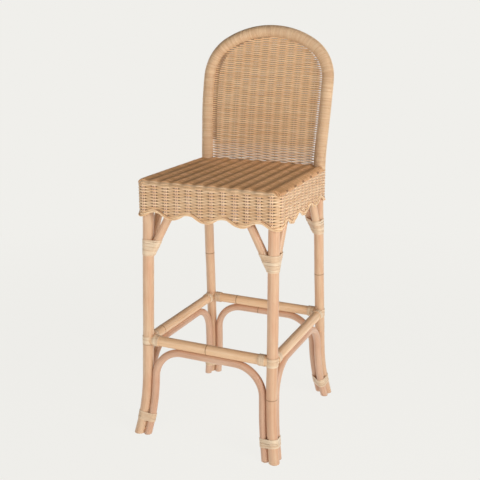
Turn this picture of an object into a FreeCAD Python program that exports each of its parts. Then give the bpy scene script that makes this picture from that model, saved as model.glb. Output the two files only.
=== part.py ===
import FreeCAD, Part
import math
import os
from FreeCAD import Vector as V

# A woven rattan bar stool with a hooped back, a scalloped skirt and a footrest.
# Millimetres, +Z up, the stool's front looks along -Y. The origin is the middle of the floor print.

# --- driving sizes ---------------------------------------------------------------------------
SEAT_HEIGHT = 757.0        # floor to the top of the woven seat
BACK_HEIGHT = 400.5        # seat top to the top of the wrapped hoop
SEAT_WIDTH = 425.0         # outside of the skirt, at the front
SEAT_DEPTH = 407.5         # outside of the skirt, front to back
SEAT_MIDDLE_Y = -17.75     # middle of the seat, seen from above

LEG_D = 30.0               # front legs
BACK_POLE_D = 28.0         # the one bent pole of both back legs and the hoop
RAIL_D = 29.0              # footrest rails
ARCH_D = 21.0              # bent arches under the footrest
BRACE_D = 23.0             # sloping braces under the seat
SEAT_RAIL_D = 24.0         # hidden rails of the seat frame
CANE_D = 10.0              # canes that carry the woven seat

BACK_NARROWER = 3.5        # each back leg stands this much nearer the middle than a front leg
KNEE_BELOW_SEAT = 117.0    # above this the legs are upright
FLARE_HEIGHT = 100.0       # below this the legs kick outwards
FRONT_SPLAY = (7.0, 21.0)  # from knee to flare, out to the side and to the front
FRONT_KICK = (18.0, 22.0)  # from flare to floor
BACK_SPLAY = (7.0, 42.0)
BACK_KICK = (17.5, 22.0)
KNEE_REACH = 25.0          # a bend starts this far from its corner
FLARE_REACH = 75.0

FOOTREST_HEIGHT = 286.0    # axis of the four footrest rails
ARCH_BEND_R = 84.0         # top corners of the lower arches

BACK_BEND_ABOVE_SEAT = 23.0    # the back starts to lean here
LEAN_BEND_ABOVE_SEAT = 173.0   # and leans further from here
LOWER_LEAN = 0.137             # run over rise of the two stretches
UPPER_LEAN = 0.217
BACK_WIDENING = 6.5            # each side of the hoop, from the seat to its widest
BACK_BEND_REACH = 34.0         # less than the upright run above the seat weave's edge
LEAN_BEND_REACH = 90.0
HOOP_RISE = 140.0              # arch, springing to crown, along the lean
HOOP_SHOULDER_R = 120.0

BRACE_SLOPE = math.radians(27.8)   # from upright
FRONT_BRACE_BINDING = (219.0, 172.0)   # bottom and top, below the seat
BACK_BRACE_BINDING = (207.0, 160.0)
BRACE_TUCK = 1.2                       # braces across stand this much nearer the middle than the leg
BRACE_PROUD = 1.5                  # the brace's toe stands this far outside the leg

ANKLE_HEIGHT = 55.0        # middle of the ankle bindings
ANKLE_BAND = 26.0
LEG_BAND = 26.0            # footrest corner: band round the leg
RAIL_BAND = 19.0           # and round each rail beside it
PEEL_T = 1.6               # build-up of wound peel

WEAVE_T = 4.0              # skirt and hoop wrapping
FRONT_OVERHANG = 5.5       # the skirt is this much thicker round the front legs
SEAT_WEAVE_T = 6.0
SEAT_EDGE_R = 11.0
SEAT_SHELL = 14.0          # height of the seat weave with its turned-down edge
BACK_WEAVE_T = 4.8
SKIRT_DROP = 107.0         # seat top to the lowest point of the border
SCALLOPS = 4               # on each side
SCALLOP_RISE = 18.0
BORDER_H = 9.0             # rolled border along the scallops
BORDER_PROUD = 3.0

SEAT_STAKE_D = 3.0
SEAT_STAKE_PITCH = 34.5
SKIRT_STAKE_D = 2.4
BACK_STAKE_D = 2.8
BACK_STAKE_PITCH = 27.5
BACK_STAKE_TUCK = 10.0     # into the top of the rear seat rail
CANES = 4

SCREW_D = 4.0
SCREW_HEAD_D = 8.0
SCREW_HEAD_H = 3.0
SCREW_SUNK = 0.8           # brace screws lie this deep in the pole
NAIL_D = 2.0
NAIL_HEAD_D = 4.0

GAP = 0.3                  # between poles that meet, and round wound peel
STAKE_GAP = 0.2
ARCH_GAP = 0.8             # arch beside its leg
HOLE_GAP = 0.15
FAR = 1000.0               # longer than anything here

# --- derived places --------------------------------------------------------------------------
FRONT, BACK = -1, 1
LEFT, RIGHT = -1, 1
ROWS = {"front": FRONT, "back": BACK}
SIDES = {"left": LEFT, "right": RIGHT}

FRONT_X = SEAT_WIDTH / 2 - FRONT_OVERHANG - WEAVE_T - LEG_D / 2
BACK_X = FRONT_X - BACK_NARROWER
FRONT_Y = SEAT_MIDDLE_Y - SEAT_DEPTH / 2 + FRONT_OVERHANG + WEAVE_T + LEG_D / 2
BACK_Y = SEAT_MIDDLE_Y + SEAT_DEPTH / 2 - WEAVE_T - BACK_POLE_D / 2
KNEE_HEIGHT = SEAT_HEIGHT - KNEE_BELOW_SEAT
SEAT_UNDER = SEAT_HEIGHT - SEAT_WEAVE_T
SHELL_BOTTOM = SEAT_HEIGHT - SEAT_SHELL
CANE_Z = SEAT_UNDER - CANE_D / 2 - GAP
SEAT_RAIL_Z = CANE_Z - CANE_D / 2 - SEAT_RAIL_D / 2 - GAP
LEG_TOP = SEAT_RAIL_Z + SEAT_RAIL_D / 2
ARCH_CROWN_Z = FOOTREST_HEIGHT - RAIL_D / 2 - ARCH_D / 2 - GAP
BELOW_FLOOR = -20.0
HOOP_WRAP_D = BACK_POLE_D + 2 * WEAVE_T
BACK_STAKE_FOOT = SEAT_RAIL_Z + SEAT_RAIL_D / 2 - BACK_STAKE_TUCK
SKIRT_LOW = SEAT_HEIGHT - SKIRT_DROP

parts = {}
groups = {}


# --- paths and sweeps ------------------------------------------------------------------------
def route_edges(corners):
    """Straight runs with a tangent arc at each corner; corners are (point, reach of the bend)."""
    edges = []
    start = corners[0][0]
    for i in range(1, len(corners) - 1):
        corner, reach = corners[i]
        back = (corners[i - 1][0] - corner).normalize()
        ahead = (corners[i + 1][0] - corner).normalize()
        half_turn = (math.pi - back.getAngle(ahead)) / 2
        if half_turn < 1e-4:
            continue
        radius = reach / math.tan(half_turn)
        inward = (back + ahead).normalize()
        middle = corner + inward * (radius / math.cos(half_turn) - radius)
        enter, leave = corner + back * reach, corner + ahead * reach
        if enter.distanceToPoint(start) > 1e-6:
            edges.append(Part.LineSegment(start, enter).toShape())
        edges.append(Part.Arc(enter, middle, leave).toShape())
        start = leave
    if start.distanceToPoint(corners[-1][0]) > 1e-6:
        edges.append(Part.LineSegment(start, corners[-1][0]).toShape())
    return edges


def swept(wire, profile):
    return wire.makePipeShell([profile], True, False)


def pole(edges, diameter):
    """A round pole of one diameter along a chain of edges."""
    first = edges[0]
    start = first.valueAt(first.FirstParameter)
    ahead = first.tangentAt(first.FirstParameter)
    circle = Part.Wire(Part.Circle(start, ahead, diameter / 2).toShape())
    return swept(Part.Wire(edges), circle)


def straight_pole(a, b, diameter):
    return Part.makeCylinder(diameter / 2, a.distanceToPoint(b), a, b - a)


def above_floor(shape):
    return shape.cut(Part.makeBox(2 * FAR, 2 * FAR, FAR, V(-FAR, -FAR, -FAR)))


def largest(shape):
    """The biggest solid of a cut shape: the ends that a cope cuts off are dropped."""
    return max(shape.Solids, key=lambda solid: solid.Volume)


def solid_at(shape, point):
    """The solid of a cut shape that lies nearest to a point."""
    vertex = Part.Vertex(point)
    return min(shape.Solids, key=lambda solid: solid.distToShape(vertex)[0])


def axis_at(edges, z):
    """Point and upward direction where a standing chain of edges passes a height."""
    for edge in edges:
        low, high = edge.FirstParameter, edge.LastParameter
        z_low, z_high = edge.valueAt(low).z, edge.valueAt(high).z
        if not min(z_low, z_high) <= z <= max(z_low, z_high):
            continue
        for _ in range(40):
            middle = (low + high) / 2
            if (edge.valueAt(middle).z < z) == (z_low < z_high):
                low = middle
            else:
                high = middle
        ahead = edge.tangentAt(low)
        return edge.valueAt(low), ahead if ahead.z > 0 else ahead * -1
    raise ValueError("no edge passes this height")


# --- bands round several poles ---------------------------------------------------------------
def belt(circles):
    """Closed wire drawn tight round circles (x, y, radius) at z = 0."""
    mid_x = sum(c[0] for c in circles) / len(circles)
    mid_y = sum(c[1] for c in circles) / len(circles)
    rounds = sorted(circles, key=lambda c: math.atan2(c[1] - mid_y, c[0] - mid_x))
    count = len(rounds)
    normals = []
    for i in range(count):
        ax, ay, ar = rounds[i]
        bx, by, br = rounds[(i + 1) % count]
        along = V(bx - ax, by - ay, 0)
        span = along.Length
        along.normalize()
        tilt = (ar - br) / span
        normals.append(along * tilt + V(along.y, -along.x, 0) * math.sqrt(1 - tilt * tilt))
    edges = []
    for i in range(count):
        x, y, r = rounds[i]
        centre = V(x, y, 0)
        arrive, leave = normals[i - 1], normals[i]
        turn = math.atan2(leave.y, leave.x) - math.atan2(arrive.y, arrive.x)
        middle = math.atan2(arrive.y, arrive.x) + (turn % (2 * math.pi)) / 2
        outward = V(math.cos(middle), math.sin(middle), 0)
        edges.append(Part.Arc(centre + arrive * r, centre + outward * r, centre + leave * r).toShape())
        x2, y2, r2 = rounds[(i + 1) % count]
        edges.append(Part.LineSegment(centre + leave * r, V(x2, y2, 0) + leave * r2).toShape())
    return Part.Wire(edges)


def grown(circles, extra):
    return [(x, y, r + extra) for x, y, r in circles]


def plate(circles, bottom, top):
    wire = belt(circles)
    wire.translate(V(0, 0, bottom))
    return Part.Face(wire).extrude(V(0, 0, top - bottom))


def band(posts, at, along, height):
    """Peel wound tight round parallel poles: posts are (point on the axis, radius)."""
    frame = FreeCAD.Rotation(V(0, 0, 1), along)
    place = FreeCAD.Placement(at, frame)
    circles = []
    for point, radius in posts:
        local = frame.inverted().multVec(point - at)
        circles.append((local.x, local.y, radius))
    outer = plate(grown(circles, GAP + PEEL_T), -height / 2, height / 2)
    inner = plate(grown(circles, GAP), -height, height)
    ring = outer.cut(inner)
    ring.Placement = place
    return ring


def tube_band(at, along, radius, height):
    """Peel wound round one pole."""
    start = at - along * (height / 2)
    outer = Part.makeCylinder(radius + GAP + PEEL_T, height, start, along)
    return outer.cut(Part.makeCylinder(radius + GAP, height, start, along))


# --- fasteners -------------------------------------------------------------------------------
def screw(head, along, length, diameter, head_d, grow=0.0):
    """A countersunk screw or nail: cone head, round shank and point."""
    shank_r = diameter / 2 + grow
    head_h = SCREW_HEAD_H * head_d / SCREW_HEAD_D
    tip = diameter
    shape = Part.makeCone(head_d / 2 + grow, shank_r, head_h, head, along)
    shape = shape.fuse(Part.makeCylinder(shank_r, length - tip, head, along))
    end = head + along * (length - tip)
    return shape.fuse(Part.makeCone(shank_r, shank_r * 0.2, tip + grow, end, along)).removeSplitter()


def drive(group, head, along, length, through, diameter=SCREW_D, head_d=SCREW_HEAD_D):
    """Adds one fastener to its group and drills its hole in the named pieces."""
    groups.setdefault(group, []).append(screw(head, along, length, diameter, head_d))
    hole = screw(head, along, length, diameter, head_d, HOLE_GAP)
    for name in through:
        parts[name] = largest(parts[name].cut(hole))


# --- legs ------------------------------------------------------------------------------------
def leg_corner(side, row, height):
    """The leg's axis at a height, on its straight runs."""
    x, y = (FRONT_X, FRONT_Y) if row == FRONT else (BACK_X, BACK_Y)
    splay, kick = (FRONT_SPLAY, FRONT_KICK) if row == FRONT else (BACK_SPLAY, BACK_KICK)
    below_knee = max(0.0, KNEE_HEIGHT - max(height, FLARE_HEIGHT)) / (KNEE_HEIGHT - FLARE_HEIGHT)
    below_flare = max(0.0, FLARE_HEIGHT - height) / FLARE_HEIGHT
    return V(
        side * (x + splay[0] * below_knee + kick[0] * below_flare),
        y + row * (splay[1] * below_knee + kick[1] * below_flare),
        height,
    )


def leg_corners(side, row, top):
    """Corners of a leg from its top to below the floor."""
    return [
        (leg_corner(side, row, top), 0.0),
        (leg_corner(side, row, KNEE_HEIGHT), KNEE_REACH),
        (leg_corner(side, row, FLARE_HEIGHT), FLARE_REACH),
        (leg_corner(side, row, BELOW_FLOOR), 0.0),
    ]


def leg_edges(side, row):
    return route_edges(leg_corners(side, row, LEG_TOP))


def back_bends():
    """Side profile of the back: corners (y, z, reach) above the seat, and the crown."""
    bend_z = SEAT_HEIGHT + BACK_BEND_ABOVE_SEAT
    lean_z = SEAT_HEIGHT + LEAN_BEND_ABOVE_SEAT
    lean_y = BACK_Y + LOWER_LEAN * (lean_z - bend_z)
    crown_z = SEAT_HEIGHT + BACK_HEIGHT - HOOP_WRAP_D / 2
    crown_y = lean_y + UPPER_LEAN * (crown_z - lean_z)
    return (BACK_Y, bend_z), (lean_y, lean_z), (crown_y, crown_z)


def hoop_side(side, bottom):
    """Corners of one side of the hoop, from a height up to the springing of the arch."""
    (bend_y, bend_z), (lean_y, lean_z), (crown_y, crown_z) = back_bends()
    wide = BACK_X + BACK_WIDENING
    up = V(0, crown_y - lean_y, crown_z - lean_z).normalize()
    springing = V(side * wide, crown_y, crown_z) - up * HOOP_RISE
    return [
        (V(side * BACK_X, BACK_Y, bottom), 0.0),
        (V(side * BACK_X, bend_y, bend_z), BACK_BEND_REACH),
        (V(side * wide, lean_y, lean_z), LEAN_BEND_REACH / 2),
        (springing, 0.0),
    ]


def arch_edges():
    """Shoulder, crown and shoulder of the hoop, in its leaning plane, from left to right."""
    _, (lean_y, lean_z), (crown_y, crown_z) = back_bends()
    up = V(0, crown_y - lean_y, crown_z - lean_z).normalize()
    wide = BACK_X + BACK_WIDENING
    springing = V(0, crown_y, crown_z) - up * HOOP_RISE
    half = 2 * math.atan2(HOOP_RISE - HOOP_SHOULDER_R, wide - HOOP_SHOULDER_R)
    crown_r = HOOP_SHOULDER_R + (wide - HOOP_SHOULDER_R) / math.sin(half)

    def at(across, rise):
        return springing + V(1, 0, 0) * across + up * rise

    def shoulder(side, angle):
        across = wide - HOOP_SHOULDER_R + HOOP_SHOULDER_R * math.cos(angle)
        return at(side * across, HOOP_SHOULDER_R * math.sin(angle))

    turn = math.pi / 2 - half
    left = Part.Arc(shoulder(LEFT, 0), shoulder(LEFT, turn / 2), shoulder(LEFT, turn))
    crown = Part.Arc(shoulder(LEFT, turn), at(0, HOOP_RISE), shoulder(RIGHT, turn))
    right = Part.Arc(shoulder(RIGHT, turn), shoulder(RIGHT, turn / 2), shoulder(RIGHT, 0))
    return [left.toShape(), crown.toShape(), right.toShape()]


def hoop_edges(left_corners, right_corners):
    down = list(reversed(right_corners))
    return route_edges(left_corners) + arch_edges() + route_edges(down)


def standing_corners(side):
    """The back pole's corners on one side, from below the floor to the springing."""
    leg = leg_corners(side, BACK, SEAT_RAIL_Z)
    return list(reversed(leg[1:])) + hoop_side(side, SEAT_RAIL_Z)[1:]


def make_legs():
    for side_name, side in SIDES.items():
        parts[f"front_leg_{side_name}"] = above_floor(pole(leg_edges(side, FRONT), LEG_D))
    edges = hoop_edges(standing_corners(LEFT), standing_corners(RIGHT))
    parts["back_frame_pole"] = above_floor(pole(edges, BACK_POLE_D))


def leg_name(side, row):
    side_name = "left" if side == LEFT else "right"
    return f"front_leg_{side_name}" if row == FRONT else "back_frame_pole"


def leg_diameter(row):
    return LEG_D if row == FRONT else BACK_POLE_D


def leg_cutters(extra=GAP):
    """The legs a little thicker, to cope what butts against them."""
    return [
        pole(leg_edges(side, row), leg_diameter(row) + 2 * extra)
        for side in SIDES.values()
        for row in ROWS.values()
    ]


# --- rails between the legs ------------------------------------------------------------------
def make_ring_of_rails(prefix, height, diameter, cutters):
    """Four rails at one height: front and back first, then the sides, notched round them."""
    middle = V(0, SEAT_MIDDLE_Y, height)
    across = []
    for row_name, row in ROWS.items():
        ends = [leg_corner(side, row, height) for side in (LEFT, RIGHT)]
        rail = straight_pole(ends[0], ends[1], diameter).cut(cutters)
        parts[f"{prefix}_{row_name}"] = largest(rail)
        across.append(straight_pole(ends[0], ends[1], diameter + 2 * GAP))
    for side_name, side in SIDES.items():
        ends = [leg_corner(side, row, height) for row in (FRONT, BACK)]
        rail = straight_pole(ends[0], ends[1], diameter).cut(cutters + across)
        parts[f"{prefix}_{side_name}"] = solid_at(rail, middle)


def make_lower_arches(cutters):
    """Under each footrest rail an arch stands beside the legs and bends below the rail."""
    beside = ARCH_D / 2 + ARCH_GAP
    for row_name, row in ROWS.items():
        inward = leg_diameter(row) / 2 + beside
        sides = [arch_side(side, row, V(-side * inward, 0, 0)) for side in (LEFT, RIGHT)]
        parts[f"lower_arch_{row_name}"] = arch_pole(sides, cutters)
    for side_name, side in SIDES.items():
        sides = [
            arch_side(side, row, V(0, -row * (leg_diameter(row) / 2 + beside), 0))
            for row in (FRONT, BACK)
        ]
        parts[f"lower_arch_{side_name}"] = arch_pole(sides, cutters)


def arch_side(side, row, aside):
    """One standing side of a lower arch, from below the floor to its top corner."""
    return [
        (leg_corner(side, row, BELOW_FLOOR) + aside, 0.0),
        (leg_corner(side, row, FLARE_HEIGHT) + aside, FLARE_REACH),
        (leg_corner(side, row, ARCH_CROWN_Z) + aside, ARCH_BEND_R),
    ]


def arch_pole(sides, cutters):
    corners = sides[0] + list(reversed(sides[1]))
    return largest(above_floor(pole(route_edges(corners), ARCH_D)).cut(cutters))


# --- braces ----------------------------------------------------------------------------------
def brace_binding_heights(row):
    """Bottom and top of the bindings round the braces' toes."""
    return [SEAT_HEIGHT - drop for drop in (FRONT_BRACE_BINDING if row == FRONT else BACK_BRACE_BINDING)]


def brace_toe_height(row):
    return brace_binding_heights(row)[0] - BRACE_D / 3


def brace_offset(row, height):
    """Distance of a brace's axis from its leg's line at a height."""
    toe = (leg_diameter(row) - BRACE_D) / 2 + BRACE_PROUD
    return toe + (height - brace_binding_heights(row)[0]) * math.tan(BRACE_SLOPE)


def brace_point(side, row, along_x, height):
    """A brace's axis is straight from its toe to the seat rail, though the leg has its knee between."""
    low, high = brace_toe_height(row), SEAT_RAIL_Z
    foot, head = leg_corner(side, row, low), leg_corner(side, row, high)
    offset = brace_offset(row, height)
    aside = V(-side * offset, -row * BRACE_TUCK, 0) if along_x else V(0, -row * offset, 0)
    return foot + (head - foot) * ((height - low) / (high - low)) + aside


def brace_name(side_name, row_name, along_x):
    return f"brace_{row_name}_{side_name}_{'across' if along_x else 'along'}"


def seat_rail_behind(side_name, row_name, along_x):
    return f"seat_rail_{row_name}" if along_x else f"seat_rail_{side_name}"


def make_braces(cutters):
    """Two braces rise from each leg to the seat rails, one along each rail."""
    rail_cutters = [
        straight_pole(leg_corner(a, b, SEAT_RAIL_Z), leg_corner(c, d, SEAT_RAIL_Z), SEAT_RAIL_D + 2 * GAP)
        for (a, b, c, d) in (
            (LEFT, FRONT, RIGHT, FRONT), (LEFT, BACK, RIGHT, BACK),
            (LEFT, FRONT, LEFT, BACK), (RIGHT, FRONT, RIGHT, BACK),
        )
    ]
    for row_name, row in ROWS.items():
        for side_name, side in SIDES.items():
            ends = [brace_point(side, row, True, z) for z in (brace_toe_height(row), SEAT_RAIL_Z)]
            first = straight_pole(ends[0], ends[1], BRACE_D)
            parts[brace_name(side_name, row_name, True)] = largest(first.cut(cutters + rail_cutters))
            clear = straight_pole(ends[0], ends[1], BRACE_D + 2 * GAP)
            ends = [brace_point(side, row, False, z) for z in (brace_toe_height(row), SEAT_RAIL_Z)]
            second = straight_pole(ends[0], ends[1], BRACE_D)
            parts[brace_name(side_name, row_name, False)] = largest(
                second.cut(cutters + rail_cutters + [clear]))


# --- seat canes ------------------------------------------------------------------------------
def cane_y(index):
    """The canes divide the seat's depth evenly between the front and back rails."""
    return FRONT_Y + (BACK_Y - FRONT_Y) * (index + 1) / (CANES + 1)


def make_seat_canes():
    for index in range(CANES):
        y = cane_y(index)
        reach = BACK_X
        ends = [V(side * reach, y, CANE_Z) for side in (LEFT, RIGHT)]
        parts[f"seat_cane_{index + 1}"] = straight_pole(ends[0], ends[1], CANE_D)


# --- bindings of wound peel ------------------------------------------------------------------
def make_bindings(cutters):
    rails = [parts[f"footrest_rail_{name}"] for name in ("front", "back", "left", "right")]
    for row_name, row in ROWS.items():
        for side_name, side in SIDES.items():
            corner = f"{row_name}_{side_name}"
            parts[f"ankle_binding_{corner}"] = ankle_binding(side, row)
            parts[f"footrest_binding_{corner}"] = footrest_binding(side, row, rails)
            parts[f"brace_binding_{corner}"] = largest(brace_binding(side, row).cut(cutters))


def ankle_binding(side, row):
    """One band round the leg and the two arch ends beside it."""
    radius = leg_diameter(row) / 2
    at, up = axis_at(leg_edges(side, row), ANKLE_HEIGHT)
    beside = radius + ARCH_D / 2 + ARCH_GAP
    posts = [
        (at, radius),
        (at + V(-side * beside, 0, 0), ARCH_D / 2),
        (at + V(0, -row * beside, 0), ARCH_D / 2),
    ]
    return band(posts, at, up, ANKLE_BAND)


def footrest_binding(side, row, rails):
    """A band round the leg, open where the rails enter, and one round each rail end."""
    at = leg_corner(side, row, FOOTREST_HEIGHT)
    up = (leg_corner(side, row, KNEE_HEIGHT) - leg_corner(side, row, FLARE_HEIGHT)).normalize()
    radius = leg_diameter(row) / 2
    aside = radius + 2 * GAP + PEEL_T + RAIL_BAND / 2
    across_end = leg_corner(-side, row, FOOTREST_HEIGHT)
    along_end = leg_corner(side, -row, FOOTREST_HEIGHT)
    leg_band = tube_band(at, up, radius, LEG_BAND)
    for end in (across_end, along_end):
        leg_band = leg_band.cut(straight_pole(at, end, RAIL_D + 2 * GAP))
    rings = [largest(leg_band)]
    for end in (across_end, along_end):
        ahead = (end - at).normalize()
        rings.append(tube_band(at + ahead * aside, ahead, RAIL_D / 2, RAIL_BAND))
    arches = [f"lower_arch_{'front' if row == FRONT else 'back'}",
              f"lower_arch_{'left' if side == LEFT else 'right'}"]
    cutters = [parts[name] for name in arches]
    return Part.makeCompound([largest(ring.cut(cutters)) for ring in rings])


def brace_binding(side, row):
    """A tapered binding round the leg and the toes of its two braces."""
    radius = leg_diameter(row) / 2
    brace_r = BRACE_D / 2 / math.cos(BRACE_SLOPE)

    def section(height, extra):
        at = leg_corner(side, row, height)
        circles = [(at.x, at.y, radius + extra)]
        for along_x in (True, False):
            point = brace_point(side, row, along_x, height)
            circles.append((point.x, point.y, brace_r + extra))
        wire = belt(circles)
        wire.translate(V(0, 0, height))
        return wire

    def sleeve(extra):
        return Part.makeLoft([section(z, extra) for z in brace_binding_heights(row)], True, True)

    return sleeve(GAP + PEEL_T).cut(sleeve(GAP))


# --- woven skin ------------------------------------------------------------------------------
def seat_circles(extra, overhang=FRONT_OVERHANG):
    """Four circles at the leg tops whose belt is the seat's plan; overhang widens the front two."""
    return [
        (side * (FRONT_X if row == FRONT else BACK_X), FRONT_Y if row == FRONT else BACK_Y,
         leg_diameter(row) / 2 + extra + (overhang if row == FRONT else 0))
        for side in (LEFT, RIGHT)
        for row in (FRONT, BACK)
    ]


def scallop_prism(length, middle, rise_by, near, far, turn):
    """All below the scalloped line of one side: arcs from low to high, pushed through the wall.

    near and far are the wall's distances from the seat's middle line; turn is the side's angle.
    """
    period = length / SCALLOPS
    level = SKIRT_LOW + SCALLOP_RISE / 2 + rise_by
    edges = []
    start = V(middle - length / 2 - period / 4, -far, level)
    for half in range(2 * SCALLOPS + 1):
        swing = SCALLOP_RISE / 2 * (-1 if half % 2 == 0 else 1)
        through = start + V(period / 4, 0, swing)
        end = start + V(period / 2, 0, 0)
        edges.append(Part.Arc(start, through, end).toShape())
        start = end
    first = edges[0].valueAt(edges[0].FirstParameter)
    drop = V(0, 0, -2 * SCALLOP_RISE - BORDER_H)
    corners = [start, start + drop, first + drop, first]
    edges += [Part.LineSegment(a, b).toShape() for a, b in zip(corners, corners[1:])]
    prism = Part.Face(Part.Wire(edges)).extrude(V(0, far - near, 0))
    prism.rotate(V(0, 0, 0), V(0, 0, 1), turn)
    return prism


def below_scallops(rise_by):
    """Everything below the scalloped line, or a line raised above it, on all four sides."""
    far = max(SEAT_WIDTH, SEAT_DEPTH)
    return [
        scallop_prism(SEAT_WIDTH, 0, rise_by, -FRONT_Y, far, 0),
        scallop_prism(SEAT_DEPTH, SEAT_MIDDLE_Y, rise_by, BACK_X, far, 90),
        scallop_prism(SEAT_WIDTH, 0, rise_by, BACK_Y, far, 180),
        scallop_prism(SEAT_DEPTH, -SEAT_MIDDLE_Y, rise_by, BACK_X, far, 270),
    ]


def make_skirt():
    low = SKIRT_LOW - GAP
    top = SHELL_BOTTOM - GAP
    hollow = plate(seat_circles(GAP, 0), low - 1, SEAT_HEIGHT)
    wall = plate(seat_circles(WEAVE_T), low, top).cut(hollow)
    stakes = skirt_stakes(top)
    cleared = [stake(x, y, low, top, STAKE_GAP) for x, y in skirt_stake_places()]
    parts["skirt_weave"] = wall.cut(below_scallops(BORDER_H + GAP)).cut(cleared)
    parts["skirt_stakes"] = Part.makeCompound(stakes)
    roll = plate(seat_circles(WEAVE_T + BORDER_PROUD), low, top).cut(hollow)
    upper = below_scallops(BORDER_H)
    roll = roll.common(upper[0].fuse(upper[1:])).cut(below_scallops(0))
    parts["skirt_border"] = largest(roll)


def skirt_stake_places():
    """Stakes stand in the middle of the skirt's wall, evenly all round."""
    middle = belt(seat_circles((WEAVE_T + GAP) / 2, FRONT_OVERHANG / 2))
    count = round(middle.Length / SEAT_STAKE_PITCH)
    return [(p.x, p.y) for p in middle.discretize(Number=count + 1)[:-1]]


def stake(x, y, bottom, top, extra=0.0):
    return Part.makeCylinder(SKIRT_STAKE_D / 2 + extra, top - bottom, V(x, y, bottom))


def skirt_stakes(top):
    cutters = below_scallops(BORDER_H + 2 * GAP)
    rods = [stake(x, y, SKIRT_LOW, top - GAP) for x, y in skirt_stake_places()]
    return [rod.cut(cutters).Solids[0] for rod in rods]


def seat_stake_ends(x):
    """A seat stake runs from the front edge to the woven back, or to the hoop at the sides."""
    z = (SEAT_HEIGHT + SEAT_UNDER) / 2
    front = SEAT_MIDDLE_Y - SEAT_DEPTH / 2 + SEAT_EDGE_R
    meets_hoop = abs(x) > BACK_X - HOOP_WRAP_D / 2 - SEAT_STAKE_D
    back = BACK_Y - (HOOP_WRAP_D / 2 + SEAT_STAKE_D if meets_hoop else BACK_WEAVE_T)
    return V(x, front, z), V(x, back, z)


def even_places(width, pitch):
    """Places across a width, at about the pitch, with the middle between two of them or on one."""
    count = int(width // pitch)
    return [(i - (count - 1) / 2) * pitch for i in range(count)]


def make_seat():
    outer = plate(seat_circles(WEAVE_T), SHELL_BOTTOM, SEAT_HEIGHT)
    top_edges = [
        edge for edge in outer.Edges
        if edge.BoundBox.ZMin > SEAT_HEIGHT - 1e-3
    ]
    outer = outer.makeFillet(SEAT_EDGE_R, top_edges)
    shell = outer.cut(plate(seat_circles(GAP, 0), SHELL_BOTTOM - 1, SEAT_UNDER))
    shell = shell.cut(hoop_posts(HOOP_WRAP_D + 2 * GAP))
    lines = even_places(SEAT_WIDTH, SEAT_STAKE_PITCH)
    cleared = [straight_pole(*seat_stake_ends(x), SEAT_STAKE_D + 2 * STAKE_GAP) for x in lines]
    back_rods = [back_stake(x, BACK_STAKE_D + 2 * GAP) for x in back_lines()]
    parts["seat_weave"] = largest(shell.cut(cleared).cut(back_rods))
    parts["seat_stakes"] = Part.makeCompound(
        [straight_pole(*seat_stake_ends(x), SEAT_STAKE_D) for x in lines])


def hoop_posts(diameter):
    """The two upright stretches of the hoop where it passes the seat."""
    return [
        Part.makeCylinder(diameter / 2, SEAT_SHELL * 2, V(side * BACK_X, BACK_Y, SHELL_BOTTOM - 1))
        for side in (LEFT, RIGHT)
    ]


# --- woven back ------------------------------------------------------------------------------
def back_profile(x, bottom):
    """Side profile of the back at one place across, from a height to above the hoop."""
    (bend_y, bend_z), (lean_y, lean_z), (crown_y, crown_z) = back_bends()
    up = V(0, crown_y - lean_y, crown_z - lean_z).normalize()
    return route_edges([
        (V(x, BACK_Y, bottom), 0.0),
        (V(x, bend_y, bend_z), BACK_BEND_REACH),
        (V(x, lean_y, lean_z), LEAN_BEND_REACH / 2),
        (V(x, crown_y, crown_z) + up * HOOP_WRAP_D, 0.0),
    ])


def back_lines():
    inner = 2 * (BACK_X - HOOP_WRAP_D / 2)
    return even_places(inner, BACK_STAKE_PITCH)


def back_stake(x, diameter):
    return pole(back_profile(x, BACK_STAKE_FOOT), diameter)


def make_back():
    bottom = SHELL_BOTTOM + GAP
    edges = hoop_edges(hoop_side(LEFT, bottom), hoop_side(RIGHT, bottom))
    inner = pole(edges, BACK_POLE_D + 2 * GAP)
    parts["hoop_wrap"] = pole(edges, HOOP_WRAP_D).cut(inner)
    fence_edges = hoop_edges(hoop_side(LEFT, SEAT_RAIL_Z), hoop_side(RIGHT, SEAT_RAIL_Z))
    fence = pole(fence_edges, HOOP_WRAP_D + 2 * GAP)

    wide = BACK_X + BACK_WIDENING + HOOP_WRAP_D / 2
    half = BACK_WEAVE_T / 2
    start = V(0, BACK_Y, SEAT_RAIL_Z)
    section = Part.makePolygon([
        start + V(-wide, -half, 0), start + V(wide, -half, 0),
        start + V(wide, half, 0), start + V(-wide, half, 0), start + V(-wide, -half, 0),
    ])
    ribbon = swept(Part.Wire(back_profile(0, SEAT_RAIL_Z)), section)
    below_seat = Part.makeBox(2 * FAR, 2 * FAR, SEAT_HEIGHT + GAP, V(-FAR, -FAR, 0))
    (_, _), (lean_y, lean_z), _ = back_bends()
    panel = solid_at(ribbon.cut([below_seat, fence]), V(0, lean_y, lean_z))
    rods = []
    for x in back_lines():
        panel = panel.cut(back_stake(x, BACK_STAKE_D + 2 * STAKE_GAP))
        rod = back_stake(x, BACK_STAKE_D).cut(fence)
        rods.append(solid_at(rod, V(x, lean_y, lean_z)))
    parts["back_weave"] = largest(panel)
    parts["back_stakes"] = Part.makeCompound(rods)
    holes = [back_stake(x, BACK_STAKE_D + 2 * STAKE_GAP) for x in back_lines()]
    parts["seat_rail_back"] = parts["seat_rail_back"].cut(holes)


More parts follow.
